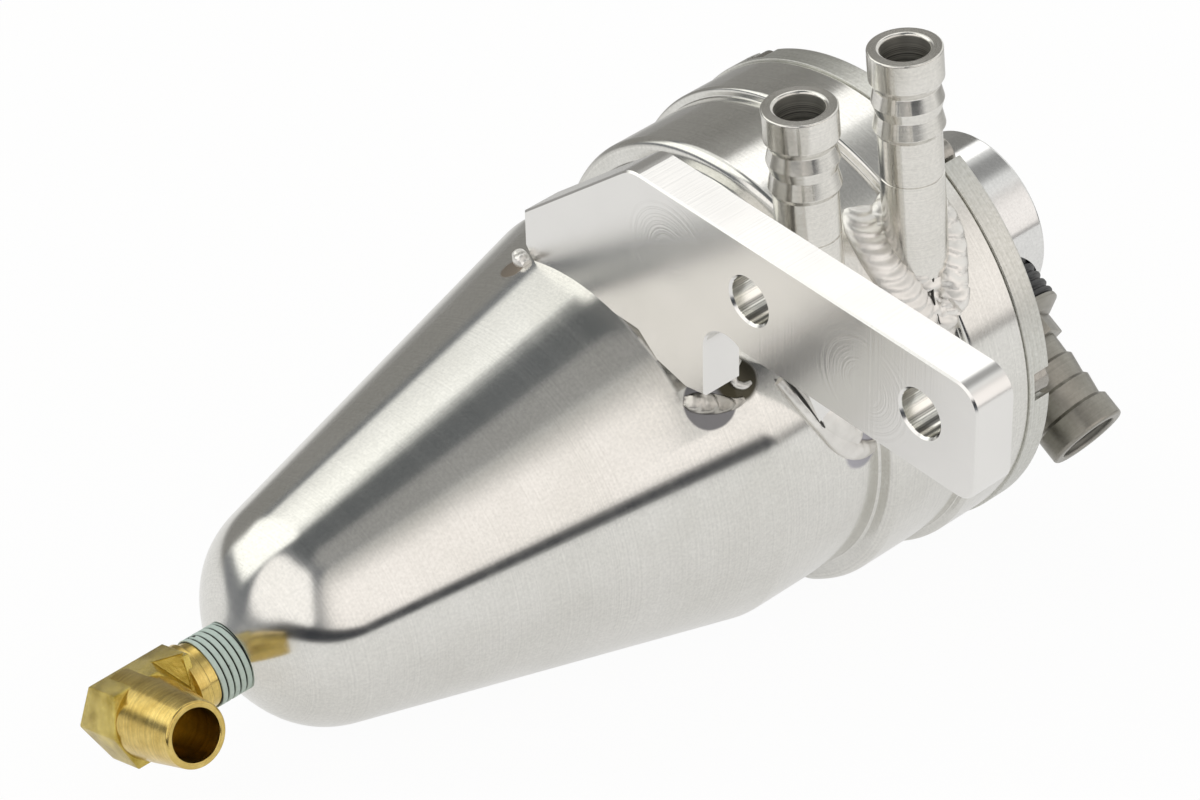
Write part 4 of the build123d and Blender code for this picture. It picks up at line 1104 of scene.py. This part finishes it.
floor.data.materials.append(floorFinish())
if floor.data.polygons[0].normal.dot(floorUp) < 0:
    floor.data.flip_normals()

# Studio: soft boxes round a dim room, as azimuth and height in degrees about the floor's normal.
# Azimuth 0 is towards the viewer and 90 to the viewer's right.
studioRoom = "#f6f6f4"
# Each zone: azimuth and its half width, height and its half width, power of its corners,
# softness of its edge, level, tone and how far it slants
studioZones = [
    (-75.0, 95.0, 24.0, 52.0, 6.0, 0.08, 0.24, "#dce2ea", 0.0),
    (-80.0, 74.0, 78.0, 17.0, 3.0, 0.28, 0.18, "#e0e6ea", 0.0),
    (14.0, 34.0, 75.0, 15.0, 3.0, 0.4, 0.42, "#f4f3f0", 0.0),
    (120.0, 44.0, 70.0, 10.0, 3.0, 0.4, 0.38, "#f0f0ee", 0.0),
    (88.0, 10.0, 35.0, 11.0, 2.0, 0.5, 0.55, "#f0f0ee", 0.0),
    (96.0, 42.0, 0.0, 5.0, 3.0, 0.4, 0.2, "#e0e4ea", 0.0),
    (-172.0, 16.0, 16.0, 31.0, 4.0, 0.12, 0.32, "#eceae4", 0.0),
    (-140.0, 28.0, 49.0, 16.0, 3.0, 0.16, 1.08, "#fafaf6", 0.0),
    (-178.0, 17.0, 57.0, 11.0, 3.0, 0.15, 1.6, "#fffefc", 0.0),
    (-42.0, 34.0, 27.0, 29.0, 4.0, 0.09, 1.3, "#fffcf9", 0.12),
    (-107.0, 27.5, 36.0, 33.0, 2.6, 0.09, 1.55, "#fffffa", 0.0),
    (45.0, 40.0, 29.0, 32.0, 5.0, 0.1, 0.55, "#fbf9f4", 0.2),
    (48.0, 44.0, 22.0, 30.0, 3.0, 0.42, 1.2, "#fffaf6", 0.1),
    (-98.0, 22.0, 3.0, 8.0, 3.0, 0.3, 0.3, "#e0e4ea", 0.0),
    (-148.0, 28.0, 8.0, 19.0, 3.0, 0.2, 0.36, "#eceae4", 0.0),
    (18.0, 62.0, -5.0, 9.5, 4.0, 0.16, 0.05, "#c8d2e8", 0.0),
]


def makeStudio():
    world = bpy.data.worlds.new("studio")
    bpy.context.scene.world = world
    world.use_nodes = True
    world.node_tree.nodes.clear()
    add = partial(addNode, world.node_tree)
    way = add("TexCoord", output="Generated")
    parts = []
    for axis in (floorUp, floorFront, floorRight):
        parts.append(add("VectorMath.DOT_PRODUCT", {0: way, 1: axis}))
    height = add("Math.ARCSINE", {0: parts[0]})
    height = add("Math.DEGREES", {0: height})
    azimuth = add("Math.ARCTAN2", {0: parts[2], 1: parts[1]})
    azimuth = add("Math.DEGREES", {0: azimuth})
    light = hexColour(studioRoom)
    for turn, halfTurn, level, halfLevel, power, soft, bright, toneCode, slant in studioZones:
        gaps = []
        for value, middle in ((azimuth, turn), (height, level)):
            gap = add("Math.SUBTRACT", {0: value, 1: middle})
            gaps.append(add("Math.WRAP", {0: gap, 1: 180.0, 2: -180.0}))
        gaps[0] = add("Math.MULTIPLY_ADD", {0: gaps[1], 1: slant, 2: gaps[0]})
        total = None
        for gap, half in zip(gaps, (halfTurn, halfLevel)):
            gap = add("Math.ABSOLUTE", {0: gap})
            gap = add("Math.DIVIDE", {0: gap, 1: half})
            gap = add("Math.POWER", {0: gap, 1: power})
            if total is not None:
                gap = add("Math.ADD", {0: total, 1: gap})
            total = gap
        total = add("Math.POWER", {0: total, 1: 1 / power})
        share = add("MapRange", {"Value": total, "From Min": 1 + soft, "From Max": 1 - soft},
            interpolation_type="SMOOTHSTEP")
        tone = [c * bright for c in hexColour(toneCode)[:3]]
        light = add("Mix.RGBA", {"Factor": share, 6: light, 7: (*tone, 1.0)})
    rays = add("LightPath").node.outputs
    light = add("Mix.RGBA", {"Factor": rays["Is Camera Ray"], 6: light, 7: (1, 1, 1, 1)})
    glow = add("Background", {"Color": light, "Strength": 1.0})
    add("OutputWorld", {"Surface": glow})


makeStudio()
bpy.context.scene.view_settings.view_transform = "Standard"
print("camera, floor and studio set")
